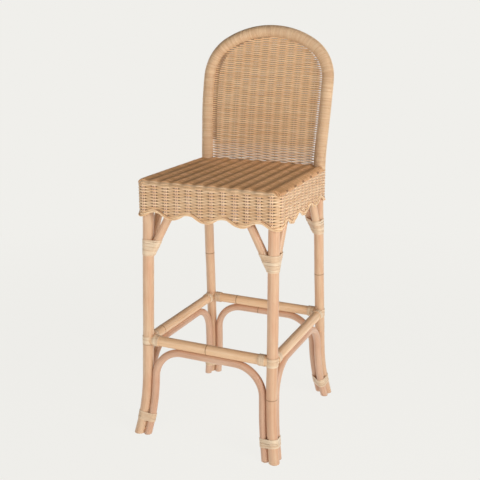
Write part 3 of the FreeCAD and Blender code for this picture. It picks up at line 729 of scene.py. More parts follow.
class Recipe:
    """A Geometry Nodes tree that turns a line mesh into solid strands."""

    INPUTS: dict[str, tuple[str, object]] = {}

    def __init__(self, name: str) -> None:
        """Make the tree with its named inputs and build its nodes.

        Args:
            name: The tree's name.
        """
        self.tree = bpy.data.node_groups.new(name, "GeometryNodeTree")
        face = self.tree.interface
        face.new_socket("Lines", in_out="INPUT", socket_type="NodeSocketGeometry")
        shared = {"Sides": ("NodeSocketInt", 6), "Material": ("NodeSocketMaterial", None)}
        for label, (kind, default) in {**self.INPUTS, **shared}.items():
            socket = face.new_socket(label, in_out="INPUT", socket_type=kind)
            if default is not None:
                socket.default_value = default
        face.new_socket("Mesh", in_out="OUTPUT", socket_type="NodeSocketGeometry")
        self.graph = Graph(self.tree)
        self.given = self.tree.nodes.new("NodeGroupInput")
        result = self.finished(self.solid(self.curves(self.input("Lines"))))
        output = self.tree.nodes.new("NodeGroupOutput")
        self.graph.link(result, output, "Mesh")

    def input(self, label: str) -> Wire:
        """One of the tree's inputs."""
        return Wire(self.graph, self.given.outputs[label])

    def named(self, label: str, kind: str = "FLOAT") -> Wire:
        """A named attribute of the lines."""
        return self.graph.add("GeometryNodeInputNamedAttribute", {"data_type": kind}, {"Name": label})

    def stored(self, geometry: Wire, label: str, value: Wire, kind: str = "FLOAT") -> Wire:
        """Store a value on points under a name."""
        settings = {"data_type": kind, "domain": "POINT"}
        return self.graph.add("GeometryNodeStoreNamedAttribute", settings,
                              {"Geometry": geometry, "Name": label, "Value": value})

    def curves(self, lines: Wire) -> Wire:
        """Turn the lines to curves that know how far along each point is."""
        curve = self.graph.add("GeometryNodeMeshToCurve", None, {"Mesh": lines})
        along = self.graph.add("GeometryNodeSplineParameter", out="Length")
        return self.stored(curve, "along", along)

    def circle(self) -> Wire:
        """A circle of radius one."""
        return self.graph.add("GeometryNodeCurvePrimitiveCircle", {"mode": "RADIUS"},
                              {"Resolution": self.input("Sides"), "Radius": 1.0})

    def with_rim(self, section: Wire) -> Wire:
        """Keep each point's place on a section as an attribute."""
        place = self.graph.add("GeometryNodeInputPosition")
        return self.stored(section, "rim", place, "FLOAT_VECTOR")

    def profile(self) -> Wire:
        """The section that is swept along the lines: round, of radius one."""
        return self.with_rim(self.circle())

    def solid(self, curve: Wire) -> Wire:
        """Sweep the section along the curves, as thick as the lines say.

        Args:
            curve: The curves.

        Returns:
            The strands' mesh.
        """
        mesh = self.graph.add("GeometryNodeCurveToMesh", None, {
            "Curve": curve, "Profile Curve": self.profile(), "Scale": self.named("thick"),
            "Fill Caps": True})
        rim = self.graph.node("ShaderNodeSeparateXYZ", None, {0: self.named("rim", "FLOAT_VECTOR")})
        thick = self.named("thick")
        grain = self.graph.add("ShaderNodeCombineXYZ", None, {
            0: Wire(self.graph, rim.outputs[0]) * thick, 1: Wire(self.graph, rim.outputs[1]) * thick,
            2: self.named("along")})
        return self.stored(mesh, "grain", grain, "FLOAT_VECTOR")

    def finished(self, mesh: Wire) -> Wire:
        """Smooth the shading, realize instances and set the material.

        Args:
            mesh: The strands' mesh.

        Returns:
            The tree's result.
        """
        smooth = self.graph.add("GeometryNodeSetShadeSmooth", None, {"Geometry": mesh})
        real = self.graph.add("GeometryNodeRealizeInstances", None, {"Geometry": smooth})
        return self.graph.add("GeometryNodeSetMaterial", None,
                              {"Geometry": real, "Material": self.input("Material")})

    def make(self, name: str, lines: Lines, finish: object, **values: object) -> bpy.types.Object:
        """Run the tree on lines and keep the result as a plain mesh.

        Args:
            name: The new piece's name.
            lines: What the tree works on.
            finish: The finish of the piece.
            values: The tree's inputs, by label with spaces as underscores.

        Returns:
            The piece, at the origin.
        """
        worker = bpy.data.objects.new(name + "_lines", lines.mesh(name + "_lines"))
        bpy.context.scene.collection.objects.link(worker)
        modifier = worker.modifiers.new("recipe", "NODES")
        modifier.node_group = self.tree
        wanted = {"Material": material_of(finish), **{k.replace("_", " "): v for k, v in values.items()}}
        for item in self.tree.interface.items_tree:
            if item.item_type == "SOCKET" and item.in_out == "INPUT" and item.name in wanted:
                modifier[item.identifier] = wanted[item.name]
        graph = bpy.context.evaluated_depsgraph_get()
        mesh = bpy.data.meshes.new_from_object(
            worker.evaluated_get(graph), preserve_all_data_layers=True, depsgraph=graph)
        bpy.data.objects.remove(worker)
        mesh.name = name
        piece = bpy.data.objects.new(name, mesh)
        bpy.context.scene.collection.objects.link(piece)
        return piece


class StrandRecipe(Recipe):
    """Round strands and poles along lines."""


class WeaveRecipe(Recipe):
    """Strands that lie on a surface and pass over and under what crosses them.

    The lines carry up (the surface's normal), beat (crossings passed, so that the strand is over at
    each even number), hold (1, or less where the strand is held flat) and rib (ribs passed).
    """

    INPUTS = {"Swing": ("NodeSocketFloat", 0.002), "Rib Height": ("NodeSocketFloat", 0.0),
              "Flatness": ("NodeSocketFloat", 1.0), "Deep": ("NodeSocketFloat", 0.9),
              "Tall": ("NodeSocketFloat", 1.3), "Weave Shade": ("NodeSocketFloat", 1.0),
              "Rib Shade": ("NodeSocketFloat", 0.0)}

    def profile(self) -> Wire:
        """Make an oval section, deep across the surface and tall along it.

        Returns:
            The section's curve.
        """
        shape = self.graph.add("ShaderNodeCombineXYZ", None,
                               {0: self.input("Deep"), 1: self.input("Tall"), 2: 1.0})
        oval = self.graph.add("GeometryNodeTransform", None, {"Geometry": self.circle(), "Scale": shape})
        return self.with_rim(oval)

    def curves(self, lines: Wire) -> Wire:
        """Push the lines out and in before they become curves, their section facing outwards.

        Args:
            lines: The weavers' lines on the surface.

        Returns:
            The curves.
        """
        swing = (self.named("beat") * math.pi).cosine()
        size = self.graph.add("ShaderNodeMath", {"operation": "ABSOLUTE"}, {0: swing})
        over = swing * (size ** self.input("Flatness")) * self.named("hold")
        ribs = (self.named("rib") * (2 * math.pi)).cosine() * self.named("hold")
        push = over * self.input("Swing") + ribs * self.input("Rib Height")
        offset = self.graph.add("ShaderNodeVectorMath", {"operation": "SCALE"},
                                {"Vector": self.named("up", "FLOAT_VECTOR"), "Scale": push})
        # painted shade: depth, stored here, darkens strands behind the weave and, by Rib Shade, the rib
        # grooves
        shade = over * self.input("Weave Shade") + ribs * self.input("Rib Shade")
        marked = self.stored(lines, "depth", shade)
        moved = self.graph.add("GeometryNodeSetPosition", None, {"Geometry": marked, "Offset": offset})
        return self.graph.add("GeometryNodeSetCurveNormal", {"mode": "FREE"}, {
            "Curve": super().curves(moved), "Normal": self.named("up", "FLOAT_VECTOR")})


class StripRecipe(Recipe):
    """Flat strips of peel along closed lines; the lines carry face, the direction of their width."""

    INPUTS = {"Width": ("NodeSocketFloat", 0.0045), "Thickness": ("NodeSocketFloat", 0.001)}
    ROUNDING = 0.42     # radius of the edges, as a share of the thickness

    def profile(self) -> Wire:
        """Make a flat section with rounded edges.

        Returns:
            The section's curve.
        """
        box = self.graph.add("GeometryNodeCurvePrimitiveQuadrilateral", {"mode": "RECTANGLE"},
                             {"Width": self.input("Width"), "Height": self.input("Thickness")})
        rounded = self.graph.add("GeometryNodeFilletCurve", {"mode": "POLY"}, {
            "Curve": box, "Count": 2, "Radius": self.input("Thickness") * self.ROUNDING})
        return self.with_rim(rounded)

    def curves(self, lines: Wire) -> Wire:
        """Turn the strips' width to the face direction."""
        curve = super().curves(lines)
        return self.graph.add("GeometryNodeSetCurveNormal", {"mode": "FREE"},
                              {"Curve": curve, "Normal": self.named("face", "FLOAT_VECTOR")})


class WindingRecipe(Recipe):
    """Turns wound closely round a line, each turn a ring a little askew."""

    INPUTS = {"Pitch": ("NodeSocketFloat", 0.003), "Turn Radius": ("NodeSocketFloat", 0.016),
              "Reed Radius": ("NodeSocketFloat", 0.0016), "Askew": ("NodeSocketFloat", 0.03),
              "Seed": ("NodeSocketInt", 5)}

    def curves(self, lines: Wire) -> Wire:
        """Place one ring at each pitch along the lines.

        Args:
            lines: The middle line of the winding.

        Returns:
            The rings' curves.
        """
        curve = self.graph.add("GeometryNodeMeshToCurve", None, {"Mesh": lines})
        points = self.graph.node("GeometryNodeCurveToPoints", {"mode": "LENGTH"},
                                 {"Curve": curve, "Length": self.input("Pitch")})
        ring = self.graph.add("GeometryNodeCurvePrimitiveCircle", {"mode": "RADIUS"},
                              {"Resolution": 26, "Radius": self.input("Turn Radius")})
        lean = self.input("Askew")
        tilt = self.graph.add("FunctionNodeRandomValue", {"data_type": "FLOAT_VECTOR"}, {
            0: self.graph.add("ShaderNodeCombineXYZ", None, {0: lean * -1.0, 1: lean * -1.0}),
            1: self.graph.add("ShaderNodeCombineXYZ", None, {0: lean, 1: lean, 2: 6.28}),
            "Seed": self.input("Seed")})
        turned = self.graph.add("FunctionNodeRotateRotation", {"rotation_space": "LOCAL"}, {
            0: Wire(self.graph, points.outputs["Rotation"]), 1: tilt})
        rings = self.graph.add("GeometryNodeInstanceOnPoints", None, {
            "Points": Wire(self.graph, points.outputs["Points"]), "Instance": ring, "Rotation": turned})
        real = self.graph.add("GeometryNodeRealizeInstances", None, {"Geometry": rings})
        along = self.graph.add("GeometryNodeSplineParameter", out="Length")
        tone = self.graph.add("FunctionNodeRandomValue", {"data_type": "FLOAT"},
                              {"ID": self.spline_number(), "Seed": self.input("Seed")}, out=1)
        real = self.stored(real, "tone", tone)
        real = self.stored(real, "thick", self.input("Reed Radius") * (tone * 0.14 + 0.93))
        return self.stored(real, "along", along)

    def spline_number(self) -> Wire:
        """The number of the ring that a point is on."""
        return self.graph.add("GeometryNodeCurveOfPoint", out="Curve Index")


@lru_cache(maxsize=None)
def recipe(kind: type) -> Recipe:
    """Give a recipe, its tree built once."""
    return kind(kind.__name__)


# ---- The frame of poles ----


def settle(piece: bpy.types.Object, slot: Slot, *nodes: str) -> bpy.types.Object:
    """Tie a finished piece to the frame.

    Args:
        piece: The piece.
        slot: The record's material slot; not used.
        nodes: CAD nodes that it stands for.

    Returns:
        The same piece.
    """
    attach(piece, BODY)
    if nodes:
        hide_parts(*nodes)
    LOG.info("%s: %d faces", piece.name, len(piece.data.polygons))
    return piece


@dataclass
class PoleMaker:
    """Makes rattan poles with node rings, a little uneven, along given axes."""

    sides: int = 28
    step: float = 0.011
    swelling: float = 0.022          # at a node ring, as a share of the radius
    groove: float = 0.00035
    uneven: float = 0.008
    waver: float = 0.0003            # how far the axis strays
    calm_end: float = 30 * MM        # the axis strays less this near its ends
    swell_width: float = 6.5         # half widths along the pole of a ring's swelling,
    groove_width: float = 0.55       # of its groove
    mark_width: float = 1.7          # and of its brown mark, in millimetres
    stations: tuple[float, ...] = (-9, -5, -2.6, -1.5, -0.8, -0.35, 0, 0.35, 0.8, 1.5, 2.6, 5, 9)

    def line(self, axis: Axis, rings: list[float], seed: float) -> tuple[np.ndarray, dict]:
        """Stations along one pole with their thickness.

        Args:
            axis: The pole's middle line.
            rings: Distances of the node rings along it.
            seed: Makes each pole uneven in its own way.

        Returns:
            The stations' points and their attributes.
        """
        total = lengths_along(axis.points)[-1]
        places = list(np.linspace(0, total, max(3, int(total / self.step) + 1)))
        for ring in rings:
            places += [ring + d * MM for d in self.stations]
        along = np.unique(np.round([p for p in places if 0 <= p <= total], 5))
        points = at_lengths(axis.points, along)
        fade = np.clip(np.minimum(along, total - along) / self.calm_end, 0, 1)
        points[:, 0] += self.waver * wobble(along, 0.31, seed + 0.3) * fade
        points[:, 1] += self.waver * wobble(along, 0.27, seed + 0.6) * fade
        thick = axis.radius * (1 + self.uneven * wobble(along, 0.22, seed))
        mark = np.zeros_like(along)
        for ring in rings:
            far = (along - ring) / MM
            thick += axis.radius * self.swelling * np.exp(-(far / self.swell_width) ** 2)
            thick -= self.groove * np.exp(-(far / self.groove_width) ** 2)
            mark = np.maximum(mark, np.exp(-(far / self.mark_width) ** 2))
        tone = np.random.default_rng(int(seed * 97) + 5).random()
        return points, {"thick": thick, "ring": mark, "tone": tone, "depth": 1.0}

    def make(self, name: str, axis: Axis, rings: list[float], seed: float) -> bpy.types.Object:
        """Make one pole.

        Args:
            name: The piece's name.
            axis: Its middle line.
            rings: Its node rings.
            seed: Its own unevenness.

        Returns:
            The pole.
        """
        lines = Lines()
        points, values = self.line(axis, rings, seed)
        lines.add(points, **values)
        piece = recipe(StrandRecipe).make(name, lines, pole_finish(name), Sides=self.sides)
        piece.data.materials.append(material_of(CutEndFinish()))
        for polygon in piece.data.polygons:
            if len(polygon.vertices) > 4:
                polygon.material_index = 1
                polygon.use_smooth = False
        return piece


def cut_at_floor(piece: bpy.types.Object) -> None:
    """Saw a standing pole flat at the floor and close the cut.

    Args:
        piece: The pole, with its feet below the floor.
    """
    mesh = piece.data
    work = bmesh.new()
    work.from_mesh(mesh)
    geometry = list(work.verts) + list(work.edges) + list(work.faces)
    cut = bmesh.ops.bisect_plane(work, geom=geometry, plane_co=(0, 0, 0), plane_no=(0, 0, 1),
                                 clear_inner=True)
    rim = [e for e in cut["geom_cut"] if isinstance(e, bmesh.types.BMEdge)]
    made = bmesh.ops.holes_fill(work, edges=rim)
    for face in made["faces"]:
        face.material_index = 1
        face.smooth = False
        if face.normal.z > 0:
            face.normal_flip()
    work.to_mesh(mesh)
    work.free()


def cope(piece: bpy.types.Object, sides: int, neighbour: BVHTree, last: bool,
         gap: float = 0.1 * MM) -> None:
    """Shape a pole's end to the round pole that it butts against.

    Args:
        piece: The pole, its rings of vertices in order.
        sides: Vertices in a ring.
        neighbour: The other pole's surface.
        last: True for the last end, False for the first.
        gap: What is left open between them.
    """
    vertices = piece.data.vertices
    count = len(vertices) // sides * sides
    end = count - sides if last else 0
    before = end - sides if last else sides
    for k in range(sides):
        start, finish = vertices[before + k].co, vertices[end + k].co
        ahead = (finish - start).normalized()
        hit = neighbour.ray_cast(start, ahead, (finish - start).length)[0]
        if hit is not None:
            vertices[end + k].co = hit - ahead * gap


def surface(*pieces: bpy.types.Object) -> BVHTree:
    """Join several pieces' surfaces for ray casts.

    Args:
        pieces: The pieces.

    Returns:
        Their search tree.
    """
    points: list[Vector] = []
    faces: list[tuple[int, ...]] = []
    for piece in pieces:
        start = len(points)
        points += [v.co.copy() for v in piece.data.vertices]
        faces += [tuple(start + v for v in p.vertices) for p in piece.data.polygons]
    return BVHTree.FromPolygons(points, faces)


@dataclass
class PoleFrame:
    """Legs, back pole, rails, arches, braces, seat rails and canes."""

    leg_radius: float = 15 * MM
    back_radius: float = 14 * MM
    rail_radius: float = 14.5 * MM
    arch_radius: float = 10.5 * MM
    brace_radius: float = 11.5 * MM
    seat_rail_radius: float = 12 * MM
    cane_radius: float = 5 * MM
    run_on: float = 30 * MM           # poles go this far below the floor before they are sawn
    rail_clear: float = 30 * MM       # a rail's coped end has no inner points this near
    brace_clear: float = 58 * MM      # the same for a brace
    back_step: float = 8 * MM         # between cuts along the back pole
    arch_step: float = 6 * MM         # and along an arch
    front_rings: Pair = ((0.275, 0.690), (0.175, 0.700))    # heights of node rings, left and right
    back_rings: Pair = ((0.437, 0.700), (0.414, 0.700))
    rail_rings: tuple[tuple[str, tuple[float, ...]], ...] = (    # places along each rail
        ("front", (0.185,)), ("back", (0.095,)), ("left", (0.07,)), ("right", ()))
    arch_ring: float = 0.48           # share of the back arch's length where it has its ring
    cane_rings: tuple[float, float] = (60 * MM, 270 * MM)
    cane_shift: float = 50 * MM       # of the first ring from one cane to the next
    front_fuller: tuple[float, float] = (1.07, 1.03)    # how much the front legs outgrew their size
    fuller: float = 1.05              # and the bent poles
    maker: PoleMaker = field(default_factory=PoleMaker)
    legs: dict[tuple[Row, Side], Axis] = field(default_factory=dict)
    axes: dict[str, Axis] = field(default_factory=dict)
    pieces: dict[str, bpy.types.Object] = field(default_factory=dict)

    def build(self) -> None:
        """Make every pole in order, those that others butt against first."""
        self.make_front_legs()
        self.make_back_pole()
        self.make_arches()
        self.make_rails("footrest_rail", self.rail_radius)
        self.make_rails("seat_rail", self.seat_rail_radius)
        self.make_braces()
        self.make_canes()

    def keep(self, node: str, axis: Axis, rings: list[float], seed: float,
             fuller: float = 1.0) -> bpy.types.Object:
        """Make a pole for a CAD node and tie it to the frame.

        Args:
            node: The CAD node.
            axis: The pole's middle line.
            rings: Distances of its node rings along it.
            seed: Its own unevenness.
            fuller: How much thicker it grew than its nominal size.

        Returns:
            The pole.
        """
        grown = Axis(axis.points, axis.radius * fuller)
        piece = self.maker.make("pole_" + node, grown, rings, seed)
        self.axes[node] = axis
        self.pieces[node] = piece
        return settle(piece, Slot.POLE, node)

    def make_front_legs(self) -> None:
        """Two legs, from below the floor to their tops."""
        for side, heights, fuller in zip(Side, self.front_rings, self.front_fuller):
            node = f"front_leg_{side.name.lower()}"
            tracer = PoleTracer(node, self.leg_radius)
            start = tracer.foot(np.ones(len(tracer.points), dtype=bool))
            found = tracer.follow(start, UP)
            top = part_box(node)[1].z
            below = found[0] - unit(found[1] - found[0]) * self.run_on
            above = found[-1] + unit(found[-1] - found[-2]) * (top - found[-1][2])
            axis = Axis(np.concatenate([[below], found, [above]]), self.leg_radius)
            self.legs[Row.FRONT, side] = axis
            rings = [self.length_at(axis, z) for z in heights]
            cut_at_floor(self.keep(node, axis, rings, 1.7 + side.value, fuller))

    @staticmethod
    def length_at(axis: Axis, height: float) -> float:
        """Distance along a standing axis at a height, on its first upward stretch."""
        point, _ = axis.at_height(height)
        near = np.linalg.norm(axis.points - point, axis=1)
        return float(lengths_along(axis.points)[int(near.argmin())])

    def bent(self, node: str, radius: float, across: int, step: float) -> Axis:
        """Trace a bent pole that stands on two feet.

        Args:
            node: The CAD node.
            radius: The pole's radius.
            across: 0 where its feet stand left and right, 1 where they stand front and back.
            step: Distance between cuts.

        Returns:
            Its middle line, with both ends below the floor.
        """
        tracer = PoleTracer(node, radius)
        start = tracer.foot(tracer.points[:, across] < 0)
        found = tracer.follow(start, UP, step)
        below = found[0] - unit(found[1] - found[0]) * self.run_on
        end = found[-1] + unit(found[-1] - found[-2]) * self.run_on
        return Axis(np.concatenate([[below], found, [end]]), radius)

    def make_back_pole(self) -> None:
        """The one pole of both back legs and the hoop."""
        node = "back_frame_pole"
        axis = self.bent(node, self.back_radius, 0, self.back_step)
        points = axis.points
        middle = len(points) // 2
        self.legs[Row.BACK, Side.LEFT] = Axis(points[:middle], self.back_radius)
        self.legs[Row.BACK, Side.RIGHT] = Axis(points[::-1][:middle], self.back_radius)
        total = lengths_along(points)[-1]
        left, right = ([self.length_at(self.legs[Row.BACK, side], z) for z in heights]
                       for side, heights in zip(Side, self.back_rings))
        rings = left + [total - place for place in right]
        cut_at_floor(self.keep(node, axis, rings, 4.2, self.fuller))

    def make_arches(self) -> None:
        """The four lower arches."""
        for k, name in enumerate(("front", "back", "left", "right")):
            node = f"lower_arch_{name}"
            across = 0 if name in ("front", "back") else 1
            axis = self.bent(node, self.arch_radius, across, self.arch_step)
            ring = lengths_along(axis.points)[-1] * self.arch_ring
            rings = [ring] if name == "back" else []
            cut_at_floor(self.keep(node, axis, rings, 6.1 + k, self.fuller))

    def make_rails(self, prefix: str, radius: float) -> None:
        """Four rails coped to the legs.

        Args:
            prefix: Start of the nodes' names.
            radius: The rails' radius.
        """
        standing = ("front_leg_left", "front_leg_right", "back_frame_pole")
        legs = surface(*[self.pieces[name] for name in standing])
        for k, (name, rings) in enumerate(self.rail_rings):
            node = f"{prefix}_{name}"
            tracer = PoleTracer(node, radius)
            a, b = tracer.straight()
            if (b - a)[0 if name in ("front", "back") else 1] < 0:
                a, b = b, a
            axis = Axis(self.butted(a, b, self.rail_clear), radius)
            piece = self.keep(node, axis, list(rings), 11.3 + k + radius * 100)
            cope(piece, self.maker.sides, legs, last=False)
            cope(piece, self.maker.sides, legs, last=True)

    @staticmethod
    def butted(a: np.ndarray, b: np.ndarray, clear: float) -> np.ndarray:
        """Make a straight axis whose inner points stand clear of both ends, which can then be coped.

        Args:
            a: One end.
            b: The other end.
            clear: Distance from each end to the nearest inner point.

        Returns:
            The axis' points.
        """
        along = unit(b - a)
        inner = evenly(np.stack([a + along * clear, b - along * clear]), PoleMaker.step)
        return np.concatenate([[a], inner, [b]])

    def make_braces(self) -> None:
        """Eight braces, their toes cut to the legs and their heads to the seat rails."""
        for row in Row:
            for side in Side:
                for k, way in enumerate(("across", "along")):
                    corner = f"{row.name.lower()}_{side.name.lower()}"
                    node = f"brace_{corner}_{way}"
                    rail = f"seat_rail_{row.name.lower() if way == 'across' else side.name.lower()}"
                    leg = f"front_leg_{side.name.lower()}" if row is Row.FRONT else "back_frame_pole"
                    a, b = PoleTracer(node, self.brace_radius).straight()
                    if a[2] > b[2]:
                        a, b = b, a
                    axis = Axis(self.butted(a, b, self.brace_clear), self.brace_radius)
                    seed = 21.0 + k + 2.3 * side.value + 5.1 * row.value
                    piece = self.keep(node, axis, [], abs(seed))
                    cope(piece, self.maker.sides, surface(self.pieces[leg]), last=False)
                    cope(piece, self.maker.sides, surface(self.pieces[rail]), last=True)

    def make_canes(self) -> None:
        """Canes across the seat frame."""
        nodes = sorted(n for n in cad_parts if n.startswith("seat_cane_") and n[-1].isdigit())
        for k, node in enumerate(nodes):
            a, b = PoleTracer(node, self.cane_radius).straight()
            axis = Axis(evenly(np.stack([a, b]), self.maker.step), self.cane_radius)
            first, last = self.cane_rings
            self.keep(node, axis, [first + self.cane_shift * k, last], 31.0 + k)


# ---- Bindings of wound peel ----


@dataclass
class Bindings:
    """Strips of peel wound round the joints."""

    poles: PoleFrame
    width: float = 4.9 * MM
    thickness: float = 2.0 * MM
    pitch: float = 4.3 * MM
    ankle_height: float = 26 * MM
    leg_band: float = 26 * MM
    rail_band: float = 19 * MM
    points: int = 56
    lean: float = 0.035       # how far a turn slopes, as rise over run

    def build(self) -> None:
        """Wind every binding."""
        for row in Row:
            for side in Side:
                corner = f"{row.name.lower()}_{side.name.lower()}"
                self.wind(f"ankle_binding_{corner}", self.ankle(row, side))
                self.wind(f"footrest_binding_{corner}", self.footrest(row, side))
                self.wind(f"brace_binding_{corner}", self.brace(row, side))

    def wind(self, node: str, lines: Lines) -> None:
        """Make one binding from its turns."""
        piece = recipe(StripRecipe).make("wound_" + node, lines, PEEL,
                                         Width=self.width, Thickness=self.thickness)
        settle(piece, Slot.PEEL, node)

    def turn(self, lines: Lines, at: np.ndarray, along: np.ndarray,
             posts: list[tuple[np.ndarray, float]], lift: float, seed: float) -> None:
        """Add one turn of strip tight round poles.

        Args:
            lines: Where the turn goes.
            at: Middle of the binding.
            along: Its axis.
            posts: (point on the axis, radius) of each pole.
            lift: How far along the axis the turn lies.
            seed: Its own unevenness.
        """
        across = unit(np.cross([0.0, 1.0, 0.0] if abs(along[1]) < 0.9 else [1.0, 0.0, 0.0], along))
        beside = np.cross(along, across)
        circles = []
        for point, radius in posts:
            offset = point - at
            circles.append((offset @ across, offset @ beside, radius + self.thickness * 0.55))
        loop = tight_loop(circles, self.points)
        draws = np.random.default_rng(int(seed * 131)).random(3)
        slope = self.lean * (0.6 + 0.8 * draws[0])
        angle = 2 * math.pi * draws[1]
        middle = loop.mean(0)
        rise = ((loop - middle) @ np.array([math.cos(angle), math.sin(angle)])) * slope
        points = at + loop[:, :1] * across + loop[:, 1:] * beside + (lift + rise)[:, None] * along
        lines.add(points, closed=True, face=along, thick=1.0, tone=draws[2], ring=0.0, depth=1.0)

    def stack(self, lines: Lines, at: np.ndarray, along: np.ndarray,
              posts: list[tuple[np.ndarray, float]], height: float, seed: float) -> None:
        """Add the turns of one band.

        Args:
            lines: Where the turns go.
            at: Middle of the band.
            along: Its axis.
            posts: (point on the axis, radius) of each pole inside.
            height: The band's height.
            seed: Its own unevenness.
        """
        count = max(2, int(round((height - self.width) / self.pitch)) + 1)
        for k in range(count):
            lift = (k / (count - 1) - 0.5) * (height - self.width)
            self.turn(lines, at, along, posts, lift, seed + k * 0.37)

    def ankle(self, row: Row, side: Side) -> Lines:
        """Band round a leg and the two arch ends beside it.

        Args:
            row: Front or back.
            side: Left or right.

        Returns:
            The turns.
        """
        low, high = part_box(f"ankle_binding_{row.name.lower()}_{side.name.lower()}")
        height = (low.z + high.z) / 2
        leg = self.poles.legs[row, side]
        at, along = leg.at_height(height)
        posts = [(at, leg.radius)]
        for name in (row.name.lower(), side.name.lower()):
            arch = self.poles.axes[f"lower_arch_{name}"]
            half = len(arch.points) // 2
            ends = [Axis(arch.points[:half], arch.radius), Axis(arch.points[::-1][:half], arch.radius)]
            found = [end.at_height(height)[0] for end in ends]
            posts.append((min(found, key=lambda p: float(np.linalg.norm(p - at))), arch.radius))
        lines = Lines()
        self.stack(lines, at, along, posts, self.ankle_height, 3.1 + side.value + 2 * row.value + 4)
        return lines

    def footrest(self, row: Row, side: Side) -> Lines:
        """Band round the leg and one round each rail beside it.

        Args:
            row: Front or back.
            side: Left or right.

        Returns:
            The turns.
        """
        leg = self.poles.legs[row, side]
        rails = [self.poles.axes[f"footrest_rail_{n}"] for n in (row.name.lower(), side.name.lower())]
        height = float(rails[0].points[:, 2].mean())
        at, along = leg.at_height(height)
        lines = Lines()
        seed = 13.3 + side.value + 2.6 * row.value
        self.stack(lines, at, along, [(at, leg.radius)], self.leg_band, seed)
        for k, rail in enumerate(rails):
            ends = (rail.points[0], rail.points[-1])
            near, far = sorted(ends, key=lambda end: float(np.linalg.norm(end - at)))
            ahead = unit(far - near)
            reach = leg.radius + self.thickness * 2 + self.rail_band / 2
            middle = near + ahead * (reach - float((near - at) @ ahead))
            self.stack(lines, middle, ahead, [(middle, rail.radius)], self.rail_band, seed + 5 + k)
        return lines

    def brace(self, row: Row, side: Side) -> Lines:
        """Tapered binding round a leg and the toes of its braces.

        Args:
            row: Front or back.
            side: Left or right.

        Returns:
            The turns.
        """
        corner = f"{row.name.lower()}_{side.name.lower()}"
        low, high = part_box(f"brace_binding_{corner}")
        leg = self.poles.legs[row, side]
        braces = [self.poles.axes[f"brace_{corner}_{way}"] for way in ("across", "along")]
        lines = Lines()
        count = int((high.z - low.z) / self.pitch)
        for k in range(count):
            height = low.z + self.width / 2 + (high.z - low.z - self.width) * k / (count - 1)
            at, _ = leg.at_height(height)
            posts = [(at, leg.radius)]
            for brace in braces:
                start, end = brace.points[0], brace.points[-1]
                point = start + (end - start) * (height - start[2]) / (end[2] - start[2])
                slope = unit(end - start)[2]
                posts.append((point, brace.radius * (0.45 + 0.55 / slope)))
            self.turn(lines, at, UP, posts, 0.0, 17.7 + k * 0.7 + side.value + 2 * row.value)
        return lines


# ---- The woven seat and skirt ----


@dataclass
class SeatPlan:
    """The seat's outline, drawn round the four leg tops."""

    poles: PoleFrame
    level: float = 0.70           # height where the legs are read
    overhang: float = 5.5 * MM    # the skirt stands this much further out round the front legs

    def __post_init__(self) -> None:
        """Read the four corners, counter-clockwise from the front left."""
        order = [(Row.FRONT, Side.LEFT), (Row.FRONT, Side.RIGHT),
                 (Row.BACK, Side.RIGHT), (Row.BACK, Side.LEFT)]
        legs = [self.poles.legs[key] for key in order]
        self.corners = np.array([leg.at_height(self.level)[0][:2] for leg in legs])
        self.radii = np.array([leg.radius for leg in legs]) + [self.overhang, self.overhang, 0, 0]

    def distance(self, places: np.ndarray) -> np.ndarray:
        """Distance outside the four-cornered figure of the leg axes.

        Args:
            places: Places in plan.

        Returns:
            A distance for each, 0 inside.
        """
        nearest = np.full(len(places), np.inf)
        inside = np.ones(len(places), dtype=bool)
        for a, b in zip(self.corners, np.roll(self.corners, -1, axis=0)):
            run = b - a
            share = np.clip(((places - a) @ run) / (run @ run), 0, 1)
            nearest = np.minimum(nearest, np.linalg.norm(places - (a + share[:, None] * run), axis=1))
            inside &= (run[0] * (places[:, 1] - a[1]) - run[1] * (places[:, 0] - a[0])) >= 0
        return np.where(inside, 0.0, nearest)

    def loop(self, extra: float, per_side: int) -> tuple[np.ndarray, np.ndarray, np.ndarray]:
        """The outline at a distance outside the legs, side by side from corner middle to corner middle.

        Args:
            extra: Distance outside the legs' surfaces.
            per_side: Points on each side.

        Returns:
            Points, outward normals and the side-share of each point (0 to 4), without the repeat.
        """
        circles = [(*corner, radius + extra) for corner, radius in zip(self.corners, self.radii)]
        fine = tight_loop(circles, 4000)
        centre = self.corners.mean(0)
        cuts = []
        for corner, radius in zip(self.corners, self.radii):
            tip = corner + unit(corner - centre) * (radius + extra)
            cuts.append(int(np.linalg.norm(fine - tip, axis=1).argmin()))
        chains = []
        for a, b in zip(cuts, np.roll(cuts, -1)):
            chain = fine[a:b + 1] if b > a else np.concatenate([fine[a:], fine[:b + 1]])
            total = lengths_along(chain)[-1]
            chains.append(at_lengths(chain, np.linspace(0, total, per_side, endpoint=False)))
        points = np.concatenate(chains)
        ahead = unit(np.roll(points, -1, axis=0) - np.roll(points, 1, axis=0))
        normals = np.stack([ahead[:, 1], -ahead[:, 0]], axis=1)
        return points, normals, np.arange(len(points)) / per_side


@dataclass(frozen=True)
class Variety:
    """How a skin's weavers vary along their length, each in its own way."""

    thick: float          # share of the thickness
    thick_wave: float     # metres from one thick place to the next
    thick_seed: float
    tone: float           # share of the colours
    tone_wave: float
    tone_seed: float

    def thickness(self, size: float, along: np.ndarray, row: int,
                  less: np.ndarray | float = 0.0) -> np.ndarray:
        """Vary a weaver's thickness.

        Args:
            size: Its nominal thickness.
            along: Places along it, in metres.
            row: Its number.
            less: Share that it loses at each place.

        Returns:
            Its thickness at each place.
        """
        return size * (1 + self.thick * wobble(along, self.thick_wave, self.thick_seed + row) - less)

    def tones(self, along: np.ndarray, row: int) -> np.ndarray:
        """Tone at each place along a weaver, from 0 to 1."""
        return 0.5 + self.tone * wobble(along, self.tone_wave, self.tone_seed + row)


def raised(plan: np.ndarray, z: np.ndarray | float) -> np.ndarray:
    """Points or directions in plan with their third coordinate added."""
    return np.column_stack([plan, np.broadcast_to(z, len(plan))])


